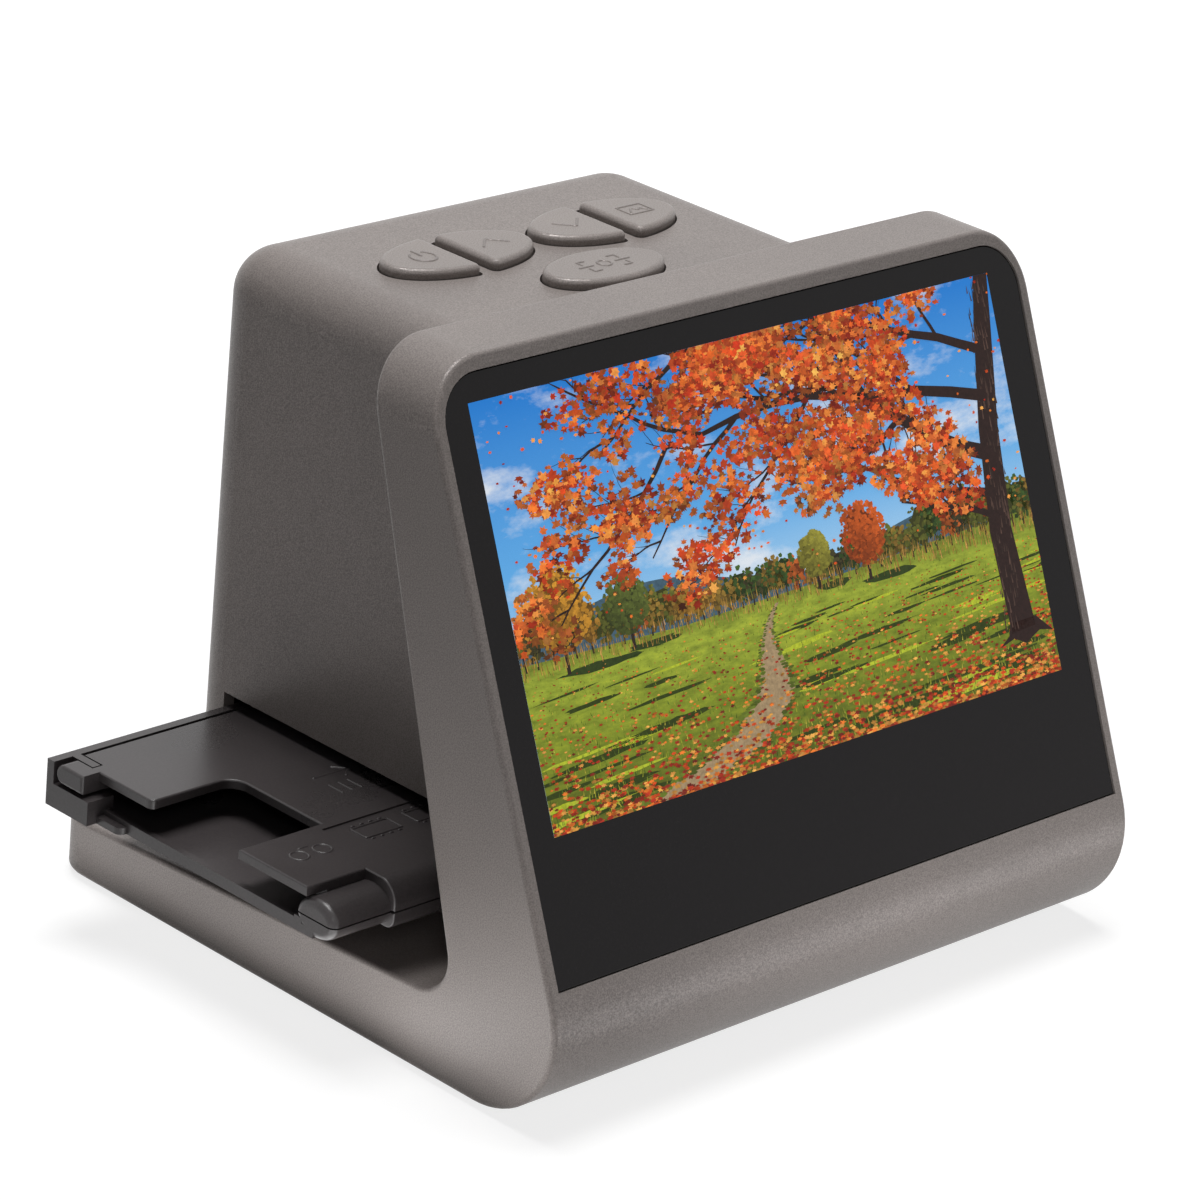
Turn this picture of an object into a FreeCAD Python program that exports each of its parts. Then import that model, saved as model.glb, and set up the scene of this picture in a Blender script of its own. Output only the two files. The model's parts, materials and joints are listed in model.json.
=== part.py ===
import FreeCAD, Part
import math
import os

V = FreeCAD.Vector
X_AXIS = V(1, 0, 0)
Y_AXIS = V(0, 1, 0)
Z_AXIS = V(0, 0, 1)
DOWN = V(0, 0, -1)

# Desktop film scanner, in millimetres.
# X runs along the screen, Y from the screen to the back, Z up from the resting surface.
# The origin is the middle of the footprint, at the height of the resting surface.

# Main housing: the leaning screen housing and the low base behind it
frame_side = 7.9
frame_top = 6.67
nose_to_tray = 34.9
tray_to_back = 16.0
foot_height = 0.8
wall = 2.4
lean = 23.12
back_lean = 17.05
nose_radius = 15.5
top_depth = 12.1
deck_back_height = 9.9
deck_rise = 2.8
arm_root_radius = 6.0
top_corner_radius = 10.0
rear_corner_radius = 8.0
edge_round = 0.8
overrun = 20.0
smooth_seam_share = 0.98
end_edge_reach = 0.01

# Screen
cover_thickness = 1.2
cover_recess = 0.25
cover_bottom = 24.8
cover_top_rim = 2.3
cover_side_rim = 1.95
cover_corner_radius = 7.5
cover_gap = 0.12
cover_edge_round = 0.2
picture_width = 110.7
picture_height = 63.5
picture_bottom = 46.5
window_gap = 0.6
panel_margin = 3.0
panel_low_margin = 5.5
panel_high_margin = 2.2
panel_thickness = 2.8
panel_gap = 0.3
bracket_thickness = 0.8
bracket_flange = 9.0
bracket_inset = 3.0
bracket_relief_margin = 3.0
bracket_relief_end = 12.0
standoff_radius = 2.6
standoff_height = 2.4

# Main board, behind the display
board_thickness = 1.6
main_board_width = 96.0
main_board_height = 46.0
main_board_bottom = 44.0
board_screw_inset = 4.5
chip_height = 1.1
processor_size = 17.0
memory_length = 13.0
memory_width = 9.0
power_chip_size = 6.0
chip_spacing = 24.0
ribbon_thickness = 0.2
display_ribbon_width = 24.0
display_ribbon_foot = 5.0

# Screws: long ones for the casing, short ones for boards and brackets
screw_radius = 1.1
screw_head_radius = 2.2
screw_head_height = 1.3
screw_length = 6.5
short_screw_length = 3.2
screw_slot_width = 0.6
screw_slot_depth = 0.6
screw_gap = 0.1
boss_radius = 3.0

# Bottom cover and feet
bottom_thickness = 2.2
bottom_front = 4.2
bottom_gap = 0.2
casing_screw_side = 12.0
casing_screw_front = 24.0
casing_screw_back = 18.0
foot_radius = 5.0
foot_seat_depth = 0.7
foot_side = 11.0
foot_front = 12.0
foot_back = 8.5

# Tower with the camera, behind the screen
tower_width = 84.7
tower_step = 5.8
tower_back = 6.7
tower_wall = 2.2
tower_edge_radius = 7.5
tower_corner_radius = 8.0
tower_screw_side = 6.0
tower_screw_length = 5.0
deck_window_margin = 4.0
cable_window_width = 15.0
cable_window_height = 9.0
cable_window_bottom = 66.0

# Film tray
tray_bottom = 20.4
tray_floor = 1.4
tray_length = 149.0
tray_depth = 62.9
tray_end_lip = 0.5
tray_lip_width = 1.2
tray_rear_wall = 1.6
tray_edge_round = 0.3
lip_post_width = 1.9
lip_post_depth = 1.7
lip_post_height = 2.3
channel_height = 4.7
lid_thickness = 1.5
lid_gap = 0.3
bar_depth = 9.2
bar_radius = 3.5
bar_split = 23.4
split_gap = 0.24
grip_length = 11.4
grip_inset = 4.9
grip_half_depth = 4.3
grip_half_height = 3.15
grip_end_round = 1.3
grip_web_inset = 4.0
lid_edge_inset = 6.8
notch_inset = 22.1
notch_width = 20.0
notch_depth = 16.2
notch_inner_radius = 3.0
notch_outer_radius = 1.0
film_window_width = 38.0
film_window_depth = 26.0
film_window_inset = 32.0
label_inset = 12.8
label_width = 7.7
label_half_length = 59.6
label_depth = 0.3
ear_reach = 3.3
ear_length = 9.9
ear_leg_height = 3.9
ear_slot_gap = 0.5
ear_tab_height = 1.1
ear_tab_length = 5.5
ear_tab_reach = 1.4
ear_tab_round = 1.3
knuckle_round = 0.5
pin_cap = 0.9
knuckle_inset = 8.3
knuckle_height = 3.1
knuckle_radius = 1.5
neck_inset = 6.7
cheek_thickness = 1.5
cheek_gap = 0.3
hinge_inset = 4.0
pin_radius = 0.8
pin_gap = 0.3
magnet_radius = 1.6
magnet_height = 1.2
magnet_side = 9.0

# Film gate inside the tower
slot_gap = 0.4
slot_head_room = 2.3
gate_gap = 0.3
gate_side_gap = 0.3
lower_guide_thickness = 2.5
upper_guide_thickness = 2.0
gate_front_reach = 6.6
gate_back_reach = 5.7
gate_post = 3.6
gate_post_inset = 5.85
leg_width = 5.0
leg_inset = 6.85
light_window = 42.0
camera_window = 44.0
detent_thickness = 0.4
detent_width = 4.0
detent_bump = 1.3
detent_bump_radius = 2.2
detent_reach = 6.0
detent_depth = 0.8

# Light box under the film
light_box_half = 24.0
light_box_wall = 1.4
diffuser_thickness = 2.0
diffuser_gap = 0.2
diffuser_drop = 0.3
light_board_margin = 3.0
light_post_height = 1.5
lamp_size = 3.0
lamp_height = 0.8
lamp_pitch = 9.0
lamp_rows = 4
light_screw_side = 3.2

# Camera above the film
hood_wall = 1.4
hood_bottom_half = 24.0
hood_top_half = 9.5
hood_height = 28.0
hood_flange = 3.4
hood_flange_thickness = 1.4
holder_thickness = 2.6
holder_half = 14.0
barrel_radius = 6.0
barrel_bore = 4.6
barrel_below = 5.5
barrel_above = 4.5
barrel_gap = 0.1
lens_thickness = 2.0
lens_dome = 0.5
lens_lift = 2.0
camera_post_height = 8.0
camera_post_radius = 2.3
camera_post_side = 10.5
camera_board_half = 13.5
sensor_half = 5.0
sensor_height = 1.4

# Buttons on the tower
button_rise = 1.6
button_round = 0.9
button_corner = 1.2
button_gap = 0.35
pair_x = 15.5
pair_inset = 25.4
pair_half_width = 14.6
pair_half_depth = 7.3
pair_split = 2.6
scan_inset = 41.7
scan_half_width = 11.6
scan_half_depth = 6.2
button_flange = 0.8
button_flange_height = 1.0
button_flange_gap = 0.3
button_stem_radius = 2.0
button_board_drop = 7.6
switch_size = 6.0
switch_height = 3.4
switch_bore_depth = 2.2
plunger_radius = 1.6
plunger_gap = 0.3
plunger_sink = 1.3
plunger_rise = 0.8
button_board_half_width = 36.0
button_board_front_reach = 11.6
button_board_back_reach = 14.6
button_boss_side = 32.5
button_boss_front_reach = 7.6
button_boss_back_reach = 10.9

# Sockets at the back of the tower
port_board_inset = 7.15
port_board_depth = 14.4
port_board_height = 40.0
port_ledge_depth = 9.0
port_ledge_height = 3.0
port_ledge_width = 8.0
port_gap = 0.3
socket_wall = 0.3
socket_depth = 8.0
socket_hollow = 6.5
usb_width = 9.0
usb_height = 3.3
usb_x = -20.0
hdmi_width = 11.2
hdmi_height = 3.3
hdmi_x = -6.0
card_width = 26.0
card_height = 3.4
card_depth = 13.0
card_x = 15.5
tongue_height = 0.7

# Worked out from the sizes above
body_width = picture_width + 2 * frame_side
body_depth = nose_to_tray + tray_depth + tray_to_back
slope_length = picture_bottom + picture_height + frame_top
body_height = foot_height + slope_length * math.cos(math.radians(lean))
half_width = body_width / 2
back_y = body_depth / 2
nose_y = -body_depth / 2
bottom_z = foot_height
lean_angle = math.radians(lean)
back_angle = math.radians(back_lean)
deck_angle = math.radians(deck_rise)
nose_corner = math.pi / 2 - lean_angle
front_foot_y = nose_y + nose_radius - nose_radius / math.tan(nose_corner / 2)
top_front_y = front_foot_y + slope_length * math.sin(lean_angle)
top_back_y = top_front_y + top_depth
cover_half = half_width - cover_side_rim
cover_top = slope_length - cover_top_rim
inner_half = half_width - wall
tower_height = body_height - tower_step
tower_half = tower_width / 2
tower_inner_half = tower_half - tower_wall
tower_back_y = back_y - tower_back
tower_inner_back = tower_back_y - tower_wall
tower_ceiling = tower_height - tower_wall
pair_y = tower_back_y - pair_inset
scan_y = tower_back_y - scan_inset
button_board_front = scan_y - button_board_front_reach
button_board_back = pair_y + button_board_back_reach
button_boss_front = scan_y - button_boss_front_reach
button_boss_back = pair_y + button_boss_back_reach
port_board_half_width = tower_inner_half - port_board_inset
tray_front = nose_y + nose_to_tray
tray_back = tray_front + tray_depth
grip_centre = tray_front + grip_inset
lid_front_edge = tray_front + lid_edge_inset
notch_front = tray_front + notch_inset
notch_back = notch_front + notch_width
label_front = tray_front + label_inset
label_back = label_front + label_width
film_window_centre = tray_front + film_window_inset
ear_front = tray_back - ear_length
knuckle_front = tray_back - knuckle_inset
neck_back = tray_back - neck_inset
hinge_y = tray_back - hinge_inset
tray_half = tray_length / 2
bar_half_length = tray_half - grip_length
tray_floor_z = tray_bottom + tray_floor
lid_bottom = tray_floor_z + channel_height
lid_top = lid_bottom + lid_thickness
lid_back = tray_back - tray_rear_wall - ear_slot_gap
slot_bottom = tray_bottom - slot_gap
slot_top = lid_top + slot_head_room
gate_top = tray_bottom - gate_gap
gate_half = tower_inner_half - gate_side_gap
gate_corner_radius = tower_corner_radius - tower_wall
gate_front = tray_front - gate_front_reach
gate_back = tray_back + gate_back_reach
gate_post_side = gate_half - gate_post_inset
leg_side = gate_half - leg_inset
deck_window_half = light_box_half + deck_window_margin
upper_guide_z = slot_top + gate_gap
upper_guide_top = upper_guide_z + upper_guide_thickness
cover_floor = bottom_z + bottom_thickness


# Shared shapes

def box(x0, x1, y0, y1, z0, z1):
    return Part.makeBox(x1 - x0, y1 - y0, z1 - z0, V(x0, y0, z0))


def rod(radius, start, length, direction):
    return Part.makeCylinder(radius, length, start, direction)


def mirrored(shape):
    return shape.mirror(V(0, 0, 0), X_AXIS)


def both_sides(shapes):
    return shapes + [mirrored(shape) for shape in shapes]


def fused(shapes):
    result = shapes[0]
    if len(shapes) > 1:
        result = result.fuse(shapes[1:])
    return result.removeSplitter()


def edges_above(solid, z):
    return [edge for edge in solid.Edges if edge.BoundBox.ZMin > z]


def end_edges(solid, x):
    return [edge for edge in solid.Edges if abs(edge.CenterOfMass.x - x) < end_edge_reach]


def line_crossing(p, along_p, q, along_q):
    turn = along_p[0] * along_q[1] - along_p[1] * along_q[0]
    reach = ((q[0] - p[0]) * along_q[1] - (q[1] - p[1]) * along_q[0]) / turn
    return (p[0] + reach * along_p[0], p[1] + reach * along_p[1])


def unit(p, q):
    length = math.hypot(q[0] - p[0], q[1] - p[1])
    return ((q[0] - p[0]) / length, (q[1] - p[1]) / length)


# An outline is a list of corners (u, v, radius), anticlockwise.
def inset(corners, distance):
    moved = []
    count = len(corners)
    for i in range(count):
        before = corners[i - 1]
        corner = corners[i]
        after = corners[(i + 1) % count]
        arriving = unit(before, corner)
        leaving = unit(corner, after)
        p = (before[0] - arriving[1] * distance, before[1] + arriving[0] * distance)
        q = (corner[0] - leaving[1] * distance, corner[1] + leaving[0] * distance)
        u, v = line_crossing(p, arriving, q, leaving)
        convex = arriving[0] * leaving[1] - arriving[1] * leaving[0] > 0
        radius = corner[2] - distance if convex else corner[2] + distance
        moved.append((u, v, max(radius, 0) if corner[2] else 0))
    return moved


def outline(corners, origin, along_u, along_v):
    def place(u, v):
        return origin + along_u * u + along_v * v

    stops = []
    arcs = []
    count = len(corners)
    for i in range(count):
        corner = corners[i]
        radius = corner[2]
        arriving = unit(corners[i - 1], corner)
        leaving = unit(corner, corners[(i + 1) % count])
        if radius == 0:
            point = place(corner[0], corner[1])
            stops.append((point, point))
            arcs.append(None)
            continue
        turn = math.acos(arriving[0] * leaving[0] + arriving[1] * leaving[1])
        reach = radius * math.tan(turn / 2)
        start = (corner[0] - arriving[0] * reach, corner[1] - arriving[1] * reach)
        end = (corner[0] + leaving[0] * reach, corner[1] + leaving[1] * reach)
        chord = ((start[0] + end[0]) / 2, (start[1] + end[1]) / 2)
        to_chord = unit(corner, chord)
        gap = radius / math.cos(turn / 2) - radius
        middle = (corner[0] + to_chord[0] * gap, corner[1] + to_chord[1] * gap)
        stops.append((place(*start), place(*end)))
        arcs.append(place(*middle))
    edges = []
    for i in range(count):
        if arcs[i] is not None:
            edges.append(Part.Arc(stops[i][0], arcs[i], stops[i][1]).toShape())
        start = stops[i][1]
        end = stops[(i + 1) % count][0]
        edges.append(Part.LineSegment(start, end).toShape())
    return Part.Face(Part.Wire(edges))


def side_prism(corners, half):
    return outline(corners, V(-half, 0, 0), Y_AXIS, Z_AXIS).extrude(X_AXIS * (2 * half))


def plan_prism(corners, z0, z1):
    return outline(corners, V(0, 0, z0), X_AXIS, Y_AXIS).extrude(Z_AXIS * (z1 - z0))


def front_prism(corners, y0, y1):
    return outline(corners, V(0, y1, 0), X_AXIS, Z_AXIS).extrude(Y_AXIS * (y0 - y1))


def rectangle(u0, u1, v0, v1, low_radius, high_radius):
    return [(u0, v0, low_radius), (u1, v0, low_radius), (u1, v1, high_radius), (u0, v1, high_radius)]


# Lays a shape drawn on the screen's plane (X, slope, outward) onto the leaning front.
def on_screen(shape):
    turn = FreeCAD.Rotation(X_AXIS, math.degrees(nose_corner))
    moved = shape.copy()
    moved.Placement = FreeCAD.Placement(V(0, front_foot_y, bottom_z), turn).multiply(moved.Placement)
    return moved


def screen_box(x0, x1, s0, s1, depth0, depth1):
    return on_screen(box(x0, x1, s0, s1, -depth1, -depth0))


def screw(length):
    head = rod(screw_head_radius, V(0, 0, 0), screw_head_height, Z_AXIS)
    slot_long = screw_head_radius * 2 / 3
    slot_half = screw_slot_width / 2
    slot_floor = screw_head_height - screw_slot_depth
    across = box(-slot_long, slot_long, -slot_half, slot_half, slot_floor, screw_head_height)
    along = box(-slot_half, slot_half, -slot_long, slot_long, slot_floor, screw_head_height)
    shank = rod(screw_radius, V(0, 0, 0), length, DOWN)
    return head.cut([across, along]).fuse(shank).removeSplitter()


# A screw whose head rests at a point and whose shank runs in the given direction.
def screw_at(point, shank_direction, length):
    placed = screw(length)
    placed.Placement = FreeCAD.Placement(point, FreeCAD.Rotation(DOWN, shank_direction))
    return placed


def screw_hole(point, direction, length):
    return rod(screw_radius + screw_gap, point, length, direction)


# Main housing

def arm_foot_point():
    return line_crossing(
        (top_back_y, body_height),
        (math.sin(back_angle), math.cos(back_angle)),
        (back_y, deck_back_height),
        (-math.cos(deck_angle), math.sin(deck_angle)),
    )


def body_profile():
    arm_foot = arm_foot_point()
    return [
        (front_foot_y, bottom_z, nose_radius),
        (back_y, bottom_z, 0),
        (back_y, deck_back_height, 0),
        (arm_foot[0], arm_foot[1], arm_root_radius),
        (top_back_y, body_height, 0),
        (top_front_y, body_height, 0),
    ]


def body_solid(distance):
    front = rectangle(-half_width, half_width, -overrun, body_height, 0, top_corner_radius)
    plan = rectangle(-half_width, half_width, nose_y - overrun, back_y, 0, rear_corner_radius)
    profile = inset(body_profile(), distance)
    solid = side_prism(profile, half_width - distance)
    solid = solid.common(front_prism(inset(front, distance), nose_y - overrun, back_y + overrun))
    return solid.common(plan_prism(inset(plan, distance), -overrun, body_height + overrun))


# The edges where two faces meet at an angle, without the seams inside smooth rounds.
def sharp_edges(solid):
    found = []
    for edge in solid.Edges:
        middle = edge.valueAt((edge.FirstParameter + edge.LastParameter) / 2)
        faces = solid.ancestorsOfType(edge, Part.Face)
        normals = [face.normalAt(*face.Surface.parameter(middle)) for face in faces]
        if normals[0].dot(normals[1]) < smooth_seam_share:
            found.append(edge)
    return found


def rounded_body():
    solid = body_solid(0)
    return solid.makeFillet(edge_round, sharp_edges(solid))


def deck_height(y):
    return deck_back_height + (back_y - y) * math.tan(deck_angle)


def arm_back(z):
    return top_back_y - (body_height - z) * math.tan(back_angle)


def casing_screw_points():
    x = half_width - casing_screw_side
    front = nose_y + nose_radius + bottom_front + casing_screw_front
    back = back_y - casing_screw_back
    return [V(side * x, y, bottom_z) for side in (-1, 1) for y in (front, back)]


def tower_screw_points():
    x = tower_inner_half - tower_screw_side
    ys = (gate_front + boss_radius, gate_back - 2 * boss_radius)
    drop = wall / math.cos(deck_angle) + screw_head_radius * math.tan(deck_angle)
    return [V(side * x, y, deck_height(y) - drop) for side in (-1, 1) for y in ys]


def screen_cover_outline(gap):
    corners = rectangle(-cover_half, cover_half, cover_bottom, cover_top, 0, cover_corner_radius)
    return inset(corners, gap)


def screen_plate(corners, depth0, depth1):
    return on_screen(plan_prism(corners, -depth1, -depth0))


def panel_screw_points():
    x = picture_width / 3
    s = picture_bottom - panel_low_margin - bracket_flange / 2
    depth = wall + panel_thickness
    return [(side * x, s, depth) for side in (-1, 1)]


def screen_point(x, s, depth):
    y = front_foot_y + s * math.sin(lean_angle) + depth * math.cos(lean_angle)
    z = bottom_z + s * math.cos(lean_angle) - depth * math.sin(lean_angle)
    return V(x, y, z)


def inward():
    return V(0, math.cos(lean_angle), -math.sin(lean_angle))


def base_mouth():
    y0 = nose_y + nose_radius + bottom_front
    top = bottom_z + wall + bottom_gap
    plan = inset(rectangle(-half_width, half_width, nose_y, back_y, 0, rear_corner_radius), wall)
    reach = box(-inner_half, inner_half, y0, back_y, bottom_z - overrun, top)
    return plan_prism(plan, bottom_z - overrun, top).common(reach)


def main_housing():
    outer = rounded_body()
    shell = outer.cut([body_solid(wall), base_mouth()])
    bosses = []
    holes = []
    for point in casing_screw_points():
        seat = V(point.x, point.y, cover_floor)
        bosses.append(rod(boss_radius, seat, overrun, Z_AXIS).common(outer))
        holes.append(screw_hole(seat, Z_AXIS, screw_length - bottom_thickness + screw_gap))
    for x, s, depth in panel_screw_points():
        start = screen_point(x, s, cover_recess + cover_thickness)
        bosses.append(rod(standoff_radius, start, depth - cover_recess - cover_thickness, inward()))
        seat = screen_point(x, s, depth - short_screw_length)
        holes.append(screw_hole(seat, inward(), short_screw_length + overrun / 4))
    for point in tower_screw_points():
        holes.append(screw_hole(point, Z_AXIS, 2 * wall))
    shell = fused([shell] + bosses)
    recess = screen_plate(screen_cover_outline(0), -overrun, cover_recess + cover_thickness)
    window = screen_box(
        -picture_width / 2 - window_gap, picture_width / 2 + window_gap,
        picture_bottom - window_gap, picture_bottom + picture_height + window_gap,
        0, wall + panel_gap / 2,
    )
    deck_window = box(
        -deck_window_half, deck_window_half,
        film_window_centre - deck_window_half, film_window_centre + deck_window_half,
        cover_floor, deck_height(gate_front) + wall,
    )
    cable_y = arm_back(cable_window_bottom)
    cable_window = box(
        -cable_window_width / 2, cable_window_width / 2,
        cable_y - 2 * wall, cable_y + 2 * wall,
        cable_window_bottom, cable_window_bottom + cable_window_height,
    )
    return shell.cut([recess, window, deck_window, cable_window] + holes)


def screen_cover():
    low = -cover_recess - cover_thickness
    plate = plan_prism(screen_cover_outline(cover_gap), low, -cover_recess)
    return on_screen(plate.makeFillet(cover_edge_round, edges_above(plate, low)))


# Display, its bracket and the main board

def panel_sides():
    half = picture_width / 2 + panel_margin
    low = picture_bottom - panel_low_margin
    high = picture_bottom + picture_height + panel_high_margin
    return half, low, high


def display_panel():
    half, low, high = panel_sides()
    return screen_box(-half, half, low, high, wall, wall + panel_thickness)


def main_board_points():
    x = main_board_width / 2 - board_screw_inset
    low = main_board_bottom + board_screw_inset
    high = main_board_bottom + main_board_height - board_screw_inset
    return [(side * x, s) for side in (-1, 1) for s in (low, high)]


def display_bracket():
    half, low, high = panel_sides()
    depth = wall + panel_thickness
    plate = screen_box(
        -half, half, low - bracket_flange, high - bracket_inset, depth, depth + bracket_thickness,
    )
    standoffs = []
    holes = []
    for x, s in main_board_points():
        start = screen_point(x, s, depth)
        height = bracket_thickness + standoff_height
        standoffs.append(rod(standoff_radius, start, height, inward()))
        seat = screen_point(x, s, depth + height - short_screw_length + board_thickness)
        holes.append(screw_hole(seat, inward(), short_screw_length))
    for x, s, seat_depth in panel_screw_points():
        holes.append(screw_hole(screen_point(x, s, seat_depth), inward(), bracket_thickness))
    relief_half = main_board_width / 2 - board_screw_inset - standoff_radius - bracket_relief_margin
    relief = screen_box(
        -relief_half, relief_half,
        low + bracket_relief_end, high - bracket_inset - bracket_relief_end,
        depth, depth + bracket_thickness,
    )
    return fused([plate] + standoffs).cut([relief] + holes)


def panel_screws():
    outward = inward() * -1
    placed = []
    for x, s, depth in panel_screw_points():
        placed.append(
            screw_at(screen_point(x, s, depth + bracket_thickness), outward, short_screw_length)
        )
    return placed


def board_depth():
    return wall + panel_thickness + bracket_thickness + standoff_height


def main_board():
    depth = board_depth()
    board = screen_box(
        -main_board_width / 2, main_board_width / 2,
        main_board_bottom, main_board_bottom + main_board_height,
        depth, depth + board_thickness,
    )
    holes = [
        screw_hole(screen_point(x, s, depth), inward(), board_thickness)
        for x, s in main_board_points()
    ]
    return board.cut(holes)


def main_board_screws():
    depth = board_depth() + board_thickness
    return [
        screw_at(screen_point(x, s, depth), inward() * -1, short_screw_length)
        for x, s in main_board_points()
    ]


def board_chip(x, s, width, height):
    depth = board_depth() + board_thickness
    return screen_box(
        x - width / 2, x + width / 2, s - height / 2, s + height / 2, depth, depth + chip_height,
    )


def main_board_chips():
    middle = main_board_bottom + main_board_height / 2
    return [
        board_chip(0, middle, processor_size, processor_size),
        board_chip(-chip_spacing, middle, memory_width, memory_length),
        board_chip(chip_spacing, middle, memory_width, memory_length),
        board_chip(chip_spacing + memory_length, middle, power_chip_size, power_chip_size),
    ]


def display_ribbon():
    half, low, high = panel_sides()
    start = wall + panel_thickness
    seat = board_depth()
    outer_s = low + bracket_relief_end
    width = display_ribbon_width / 2
    on_panel = screen_box(
        -width, width, outer_s, outer_s + display_ribbon_foot, start, start + ribbon_thickness,
    )
    rise = screen_box(-width, width, outer_s, outer_s + ribbon_thickness, start, seat)
    on_board = screen_box(
        -width, width, outer_s, outer_s + display_ribbon_foot, seat - ribbon_thickness, seat,
    )
    return fused([on_panel, rise, on_board])


# Bottom cover, feet and casing screws

def foot_points():
    x = half_width - foot_side
    front = nose_y + nose_radius + bottom_front + foot_front
    back = back_y - foot_back
    return [V(side * x, y, 0) for side in (-1, 1) for y in (front, back)]


def bottom_cover():
    front = nose_y + nose_radius + bottom_front - wall
    plan = rectangle(-half_width, half_width, front, back_y, 0, rear_corner_radius)
    corners = inset(plan, wall + bottom_gap)
    plate = plan_prism(corners, bottom_z, cover_floor)
    cuts = []
    for point in casing_screw_points():
        cuts.append(screw_hole(point, Z_AXIS, bottom_thickness))
        cuts.append(rod(screw_head_radius + screw_gap, point, screw_head_height, Z_AXIS))
    for point in foot_points():
        cuts.append(rod(foot_radius, point, foot_height + foot_seat_depth, Z_AXIS))
    posts = []
    for point in light_board_points():
        posts.append(
            rod(
                standoff_radius, V(point.x, point.y, bottom_z),
                bottom_thickness + light_post_height, Z_AXIS,
            )
        )
        seat = V(
            point.x, point.y,
            cover_floor + light_post_height + board_thickness - short_screw_length,
        )
        cuts.append(screw_hole(seat, Z_AXIS, short_screw_length))
    return fused([plate] + posts).cut(cuts)


def rubber_feet():
    return [rod(foot_radius, point, foot_height + foot_seat_depth, Z_AXIS) for point in foot_points()]


def casing_screws():
    lift = V(0, 0, screw_head_height)
    return [
        screw_at(point + lift, Z_AXIS, screw_length - screw_head_height)
        for point in casing_screw_points()
    ]


# Tower

def tower_block(distance):
    half = tower_half - distance
    top = tower_height - distance
    back = tower_back_y - distance
    front = front_foot_y + distance
    block = box(-half, half, front, back, -overrun, top)
    rounded = block.makeFillet(tower_corner_radius - distance, rear_uprights(block, back))
    return rounded.makeFillet(tower_edge_radius - distance, top_chain(rounded, top, front))


def rear_uprights(block, back):
    found = []
    for edge in block.Edges:
        middle = edge.CenterOfMass
        upright = edge.BoundBox.ZLength > edge.BoundBox.XLength + edge.BoundBox.YLength
        if upright and middle.y > back - edge_round:
            found.append(edge)
    return found


def top_chain(block, top, front):
    found = []
    for edge in block.Edges:
        bounds = edge.BoundBox
        if bounds.ZMin > top - edge_round and bounds.YMax > front + edge_round:
            found.append(edge)
    return found


# The space behind the screen housing and above the deck, where the tower stands.
def tower_room():
    foot = arm_foot_point()
    high = body_height
    far = back_y + overrun
    corners = [
        (foot[0], foot[1], arm_root_radius),
        (far, deck_height(far), 0),
        (far, high, 0),
        (arm_back(high), high, 0),
    ]
    return side_prism(corners, half_width + overrun)


def tower_screws():
    return [screw_at(point, Z_AXIS, tower_screw_length) for point in tower_screw_points()]


def tower_boss(point):
    top = gate_top - lower_guide_thickness - gate_gap
    side = tower_inner_half + tower_wall / 2
    rib = box(
        min(abs(point.x), side), side,
        point.y - boss_radius / 2, point.y + boss_radius / 2,
        cover_floor, top,
    )
    if point.x < 0:
        rib = mirrored(rib)
    return [rod(boss_radius, V(point.x, point.y, cover_floor), top - cover_floor, Z_AXIS), rib]


def tower_cover():
    outer = tower_block(0)
    shell = outer.cut(tower_block(tower_wall))
    slot = box(
        -overrun - tower_half, tower_half + overrun, tray_front - slot_gap, tray_back + slot_gap,
        slot_bottom, slot_top,
    )
    parts = [shell.cut(slot)]
    cuts = []
    for point in tower_screw_points():
        parts += tower_boss(point)
        cuts.append(screw_hole(point, Z_AXIS, tower_screw_length + screw_gap))
    for point in button_board_points():
        parts.append(rod(boss_radius, point, tower_height - tower_wall / 2 - point.z, Z_AXIS))
        cuts.append(screw_hole(V(point.x, point.y, point.z), Z_AXIS, short_screw_length))
    parts += both_sides([port_ledge()])
    for point in port_screw_points():
        cuts.append(
            screw_hole(V(point.x, point.y, point.z - short_screw_length), Z_AXIS, short_screw_length)
        )
    holes = button_solids(button_gap, tower_ceiling - overrun / 4, tower_height + overrun)
    cuts += list(holes.values())
    cuts += port_openings()
    return fused(parts).cut(cuts).common(outer).common(tower_room())


# Buttons

def ellipse_prism(x, y, half_x, half_y, z0, z1):
    ellipse = Part.Ellipse(V(x, y, z0), half_x, half_y).toShape()
    return Part.Face(Part.Wire([ellipse])).extrude(Z_AXIS * (z1 - z0))


def half_button(side, pair, grow, z0, z1):
    x = pair * pair_x
    oval = ellipse_prism(x, pair_y, pair_half_width + grow, pair_half_depth + grow, z0, z1)
    flat = pair_split / 2 - grow
    far = pair_half_width + grow + overrun
    near_x = x + side * flat
    far_x = x + side * far
    keep = box(min(near_x, far_x), max(near_x, far_x), pair_y - far, pair_y + far, z0, z1)
    solid = oval.common(keep)
    corners = [edge for edge in solid.Edges if is_upright_corner(edge, near_x)]
    return solid.makeFillet(button_corner, corners)


def is_upright_corner(edge, x):
    bounds = edge.BoundBox
    upright = bounds.ZLength > bounds.XLength + bounds.YLength
    return upright and abs(edge.CenterOfMass.x - x) < button_gap / 2


def button_solids(grow, z0, z1):
    return {
        "power_button": half_button(-1, -1, grow, z0, z1),
        "up_button": half_button(1, -1, grow, z0, z1),
        "down_button": half_button(-1, 1, grow, z0, z1),
        "view_button": half_button(1, 1, grow, z0, z1),
        "scan_button": ellipse_prism(0, scan_y, scan_half_width + grow, scan_half_depth + grow, z0, z1),
    }


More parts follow.
